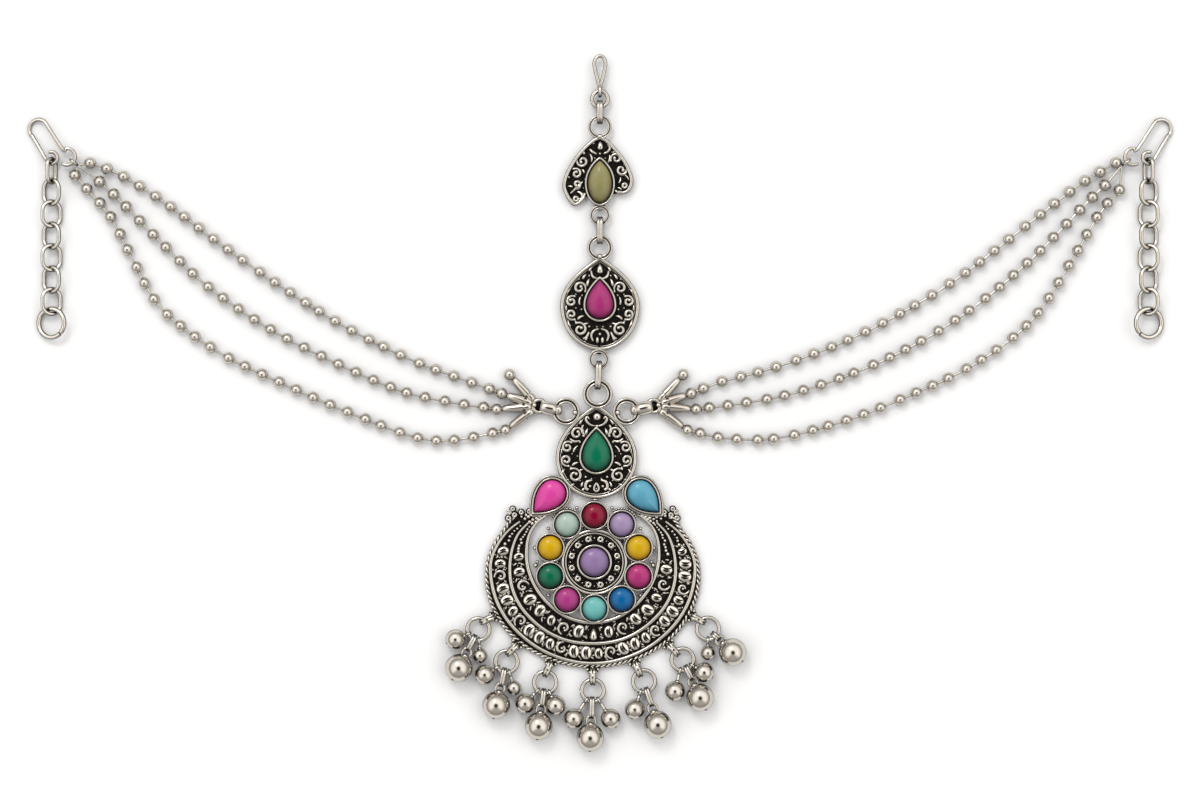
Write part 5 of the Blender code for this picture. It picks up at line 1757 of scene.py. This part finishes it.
@dataclass
class Fringe:
    """Seven groups of hollow balls on jump rings along the crescent's edge."""

    metals: Metals
    crescent: Crescent = field(default_factory=Crescent)
    eye_radius: float = 2.0
    eye_wire: float = 0.95
    eye_draw: float = 1.5
    ring_radius: float = 3.95
    ring_wire: float = 1.2
    height: float = 2.05
    reach: float = 13.0
    sizes: dict[str, float] = field(default_factory=lambda: {"big": 4.3, "mid": 3.1, "small": 2.3})
    groups: Sequence[tuple] = (
        (-61.5, -37.0, (("big", -28.0, 0.99), ("mid", -67.0, 0.57), ("small", 4.0, 0.60))),
        (-42.7, -20.0, (("big", -12.0, 1.01), ("mid", -60.0, 0.575), ("small", 16.0, 0.62))),
        (-22.8, -8.0, (("big", -7.0, 1.00), ("mid", -44.0, 0.66), ("mid", 25.0, 0.57))),
        (0.0, 0.0, (("big", -2.0, 1.07), ("mid", -34.5, 0.77), ("mid", 33.0, 0.76))),
        (22.8, 28.0, (("big", 18.6, 1.04), ("mid", -18.5, 0.67))),
        (42.7, 42.0, (("big", 25.7, 0.96), ("mid", -14.0, 0.74), ("mid", 60.0, 0.57))),
        (61.5, 42.0, (("big", 48.0, 0.79), ("small", 0.0, 0.55))),
    )

    def eye(self, index: int) -> Vector:
        """The middle of a group's eye.

        Args:
            index: The group, counted from the left.

        Returns:
            The point.
        """
        angle = self.groups[index][0]
        out = self.crescent.section(angle)[0] - 0.5 + self.eye_radius + self.eye_draw / 2
        return self.crescent.spot(angle, out, self.height)

    def ring_place(self, index: int) -> Vector:
        """The middle of a group's jump ring.

        Args:
            index: The group, counted from the left.

        Returns:
            The point.
        """
        angle, hang, _ = self.groups[index]
        rest = self.eye_draw / 2 + self.eye_radius - self.eye_wire - 0.3 - self.ring_wire / 2
        crossing = self.eye(index) + heading(angle) * rest
        return crossing + heading(hang) * (self.ring_radius - self.ring_wire / 2)

    def build(self) -> None:
        """Makes the seven groups."""
        for index in range(len(self.groups)):
            self.build_group(index)

    def build_group(self, index: int) -> None:
        """Makes one group: jump ring, small balls and the big ball on its link.

        Args:
            index: The group, counted from the left.
        """
        number = index + 1
        at = self.ring_place(index)
        work = Work(f"fringe_ring_{number}_balls", self.metals.slots)
        drop = Work(f"fringe_drop_{number}_ball", self.metals.slots)
        work.ring(at, self.ring_radius, self.ring_wire, gap=5, gap_at=35 + 50 * index)
        for size, direction, share in self.groups[index][2]:
            along = heading(direction)
            radius = self.sizes[size]
            flat = at + along * self.reach * share
            middle = Vector((flat.x, flat.y, radius + 0.05))
            if size == "big":
                self.drop(drop, at, along, middle, radius, number)
            else:
                self.small(work, at, along, middle, radius)
        work.finish(f"fringe_ring_{number}")
        drop.finish(f"fringe_drop_{number}")

    def small(self, work: Work, at: Vector, along: Vector, middle: Vector, radius: float) -> None:
        """Adds a small ball and the loop that carries it.

        Args:
            work: The group under work.
            at: The middle of its jump ring.
            along: The direction the ball hangs in.
            middle: The ball's middle.
            radius: The ball's radius.
        """
        self.hollow_ball(work, middle, radius * 0.97, along)
        root = at + along * (self.ring_radius - self.ring_wire / 2)
        turn = degrees(atan2(along.y, along.x))
        work.ring(root + along * 0.1, 1.3, 0.75, turn, upright=True, count=14)
        rim = middle - along * radius * 0.8
        rim.z = (middle.z + self.height) / 2
        if (rim - root).length > 0.8:
            work.wire([root + along * 0.9, rim], 0.5)

    def drop(self, work: Work, at: Vector, along: Vector, middle: Vector, radius: float, number: int) -> None:
        """Adds the big ball and its upright link.

        Args:
            work: The drop under work.
            at: The middle of its jump ring.
            along: The direction it hangs in.
            middle: The ball's middle.
            radius: The ball's radius.
            number: The group's number.
        """
        low, high = (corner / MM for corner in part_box(f"fringe_drop_{number}"))
        true = radius * 0.965
        middle = Vector((min(max(middle.x, low.x + true), high.x - true),
                         min(max(middle.y, low.y + true), high.y - true), true + 0.05))
        self.hollow_ball(work, middle, true, along)
        start = at + along * (self.ring_radius - self.ring_wire - 0.3)
        rim = middle - along * true * 0.90
        rim.z = self.height + 1.1
        span = (rim - start).length
        turn = degrees(atan2(along.y, along.x))
        low_end = start + (rim - start) * max(1 - 2.5 / span, 0.42)
        for shift in (-0.36, 0.36):
            aside = Vector((along.y, -along.x, 0.0)) * shift
            work.ring((start + low_end) / 2 + aside, 1.8, 0.82, turn, upright=True,
                      stretch=max((low_end - start).length - 2.0, 0.1), count=22)
        work.ring((low_end + rim) / 2 + up(0.35), 1.75, 0.8, turn, stretch=0.2, count=20)

    def hollow_ball(self, work: Work, middle: Vector, radius: float, along: Vector) -> None:
        """Adds a ball with a small cap at its near end, and a small dark ball at its far end, painted shade
        for its hole.

        Args:
            work: The piece under work.
            middle: Its middle.
            radius: Its radius.
            along: The direction it hangs in.
        """
        work.ball(middle, radius, steps=(32, 20), part=Part.POLISHED)
        # Painted shade: a small dark ball in the ground finish stands for the shade inside the ball's hole
        lean = (along + up(0.35)).normalized()
        at = middle + lean * radius * 0.93
        work.ball(at, radius * 0.12, (1, 1, 1), steps=(10, 6), part=Part.GROUND)
        cap = middle - along * radius * 0.9
        work.ball(cap, radius * 0.26, steps=(10, 6))


STRAND_ROUTES: dict[str, Sequence[Flat]] = {
    "left_strand_upper": (
        (-37.2, 53.9), (-54.8, 60.5), (-75.2, 70.7), (-94.2, 82.7), (-111.9, 95.1), (-128.9, 107.8),
        (-142.4, 116.2), (-151.0, 119.5)),
    "left_strand_middle": (
        (-40.0, 47.3), (-57.0, 50.9), (-77.5, 59.6), (-97.8, 70.1), (-116.3, 82.9), (-131.1, 97.0),
        (-142.1, 108.3), (-148.2, 113.9)),
    "left_strand_lower": (
        (-34.3, 37.6), (-50.5, 36.6), (-72.2, 44.2), (-92.7, 53.1), (-112.7, 62.9), (-129.6, 75.8),
        (-138.0, 90.0), (-144.9, 103.3), (-151.6, 111.2), (-155.6, 115.8)),
    "right_strand_upper": (
        (36.8, 53.7), (52.9, 57.9), (73.5, 65.4), (91.5, 74.3), (109.5, 85.4), (129.8, 101.1),
        (145.8, 113.4), (156.2, 119.5)),
    "right_strand_middle": (
        (42.2, 47.2), (58.5, 50.2), (79.4, 57.2), (98.6, 66.5), (115.7, 77.8), (132.2, 91.9),
        (146.7, 106.8), (152.9, 112.8)),
    "right_strand_lower": (
        (36.1, 37.4), (52.9, 36.8), (74.6, 42.1), (94.8, 50.0), (113.7, 59.1), (130.6, 71.9),
        (142.5, 89.4), (150.5, 103.2), (157.2, 111.4)),
}


@dataclass
class Stones:
    """All sixteen cabochons in their colours."""

    main: MainPendant
    mid: MidPendant
    top: TopPendant
    # Each glass has a deep colour, painted at the rim as shade, and a light one, painted in the middle as
    # light
    glass: dict[str, Flat] = field(default_factory=lambda: {
        "crimson_glass": ("#4A0012", "#8E0230"), "mint_glass": ("#5E746A", "#B4C6BC"),
        "amber_glass": ("#9A7002", "#D6AE04"), "green_glass": ("#002418", "#04704F"),
        "orchid_glass": ("#651848", "#B23C86"), "aqua_glass": ("#256F6E", "#78C2BE"),
        "cobalt_glass": ("#002E50", "#0068A6"), "fuchsia_glass": ("#640A3E", "#BC367C"),
        "lilac_glass": ("#58476A", "#AA94B8"), "violet_glass": ("#4A3A54", "#9A7EAC"),
        "emerald_glass": ("#002619", "#067858"), "magenta_glass": ("#540433", "#B03478"),
        "olive_glass": ("#453F22", "#9A9464"), "pink_glass": ("#92125E", "#E24CA6"),
        "sky_glass": ("#1E5A74", "#66AEC6"),
    })
    rosette: Sequence[str] = (
        "crimson_glass", "mint_glass", "amber_glass", "green_glass", "orchid_glass", "aqua_glass",
        "cobalt_glass", "fuchsia_glass", "amber_glass", "lilac_glass",
    )

    def finish(self, colour: str) -> GlassFinish:
        """The finish of one colour."""
        return GlassFinish(colour + "_cabochon", *self.glass[colour])

    def build(self) -> None:
        """Makes every stone."""
        for i, colour in enumerate(self.rosette):
            shape = self.main.rosette.shape(i)
            Stone(f"stone_rosette_{i + 1:02d}", shape, self.finish(colour), rise=1.75).build()
        for node, shape, colour in (
                ("stone_centre", self.main.rosette.middle_shape(), "violet_glass"),
                ("stone_main", self.main.stone, "emerald_glass"),
                ("stone_mid", self.mid.stone, "magenta_glass"),
                ("stone_top", self.top.stone, "olive_glass"),
                ("stone_side_left", self.main.side_shape(-1), "pink_glass"),
                ("stone_side_right", self.main.side_shape(1), "sky_glass")):
            Stone(node, shape, self.finish(colour)).build()


@dataclass
class Studio:
    """The white table, the soft light and the camera straight above."""

    centre: Flat = (1.68, 48.51)
    frame_width: float = 360.0
    lens: float = 100.0
    sensor: float = 36.0
    tent: float = 1.14
    tent_edge: Flat = (0.12, 0.72)
    room: float = 0.42
    gap: float = 0.04
    gap_edge: Flat = (0.925, 0.982)
    walls: float = 0.16
    walls_edge: Flat = (-0.30, 0.32)
    aside: float = 0.9
    box_place: Place = (-0.35, 0.85, 1.10)
    box_size: float = 0.42
    box_power: float = 3.4
    tint: str = "#FBFAF8"

    def build(self) -> None:
        """Makes the table, the lights, the surroundings and the camera."""
        self.build_table()
        self.build_lights()
        self.build_camera()

    def build_table(self) -> None:
        """Makes the table top, just under the jewel."""
        mesh = bmesh.new()
        bmesh.ops.create_grid(mesh, x_segments=1, y_segments=1, size=3.0)
        data = bpy.data.meshes.new("table")
        mesh.to_mesh(data)
        mesh.free()
        data.materials.append(TableFinish().make())
        table = bpy.data.objects.new("table", data)
        bpy.context.scene.collection.objects.link(table)

    def build_lights(self) -> None:
        """Makes a white tent overhead with a gap for the lens, and a soft box beyond the jewel."""
        place = Vector(self.box_place)
        target = Vector((self.centre[0] * MM, self.centre[1] * MM, 0.0))
        lamp = bpy.data.lights.new("far_box", "AREA")
        lamp.shape = "DISK"
        lamp.size = self.box_size
        lamp.energy = self.box_power
        holder = bpy.data.objects.new("far_box", lamp)
        holder.location = place
        holder.rotation_euler = (target - place).to_track_quat("-Z", "Y").to_euler()
        bpy.context.scene.collection.objects.link(holder)
        world = bpy.data.worlds.new("studio")
        world.use_nodes = True
        tree = world.node_tree
        axes = add_node(tree, "SeparateXYZ", links={"Vector": add_node(tree, "TexCoord")})
        height = {"Value": axes.outputs["Z"]}
        tent = add_node(tree, "MapRange", ramp(*self.tent_edge, 0.0, self.tent), height)
        gap = add_node(tree, "MapRange", ramp(*self.gap_edge, 1.0, self.gap), height)
        # The photographer's side of the tent, between the two lit walls, is darker
        aside = add_node(tree, "Math", {"operation": "ABSOLUTE"}, {0: axes.outputs["X"]})
        lobes = add_node(
            tree, "Math", {"operation": "MULTIPLY_ADD", 1: self.aside},
            {0: aside, 2: axes.outputs["Y"]})
        walls = add_node(tree, "MapRange", ramp(*self.walls_edge, self.walls, 1.0), {"Value": lobes})
        lit = add_node(tree, "Math", {"operation": "MULTIPLY"}, {0: tent, 1: walls})
        glow = add_node(tree, "Math", {"operation": "ADD", 1: self.room}, {0: lit})
        total = add_node(tree, "Math", {"operation": "MULTIPLY"}, {0: glow, 1: gap})
        settle(tree, tree.nodes["Background"], {"Color": linear(self.tint)}, {"Strength": total})
        bpy.context.scene.world = world
        bpy.context.scene.view_settings.view_transform = "Standard"

    def build_camera(self) -> None:
        """Makes the camera, as far above the table as its lens asks for the photo's frame."""
        data = bpy.data.cameras.new("camera")
        data.lens = self.lens
        data.sensor_width = self.sensor
        data.clip_end = 20.0
        camera = bpy.data.objects.new("camera", data)
        height = self.frame_width / self.sensor * self.lens
        camera.location = (self.centre[0] * MM, self.centre[1] * MM, height * MM)
        bpy.context.scene.collection.objects.link(camera)
        bpy.context.scene.camera = camera


def main() -> None:
    """Builds the jewel's pieces in order and reports each."""
    logging.basicConfig(level=logging.INFO, format="%(message)s")
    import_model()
    metals = Metals()
    fringe = Fringe(metals)
    pendant = MainPendant(metals)
    pendant.build(fringe)
    mid = MidPendant(metals)
    mid.build()
    top = TopPendant(metals)
    top.build()
    Stones(pendant, mid, top).build()
    for node, start, end in (("lower_link", (1.0, 52.8), (1.35, 59.1)),
                             ("upper_link", (1.65, 96.35), (1.65, 102.25)),
                             ("top_link", (1.65, 132.26), (1.65, 137.06))):
        Link(node, (*start, RING_HEIGHT), (*end, RING_HEIGHT)).build(metals)
    TopHook(metals).build()
    for side, word in ((-1, "left"), (1, "right")):
        routes = {name: route for name, route in STRAND_ROUTES.items() if name.startswith(word)}
        Wing(metals, side, routes).build()
    fringe.build()
    Studio().build()
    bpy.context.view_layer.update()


if __name__ == "__main__":
    main()
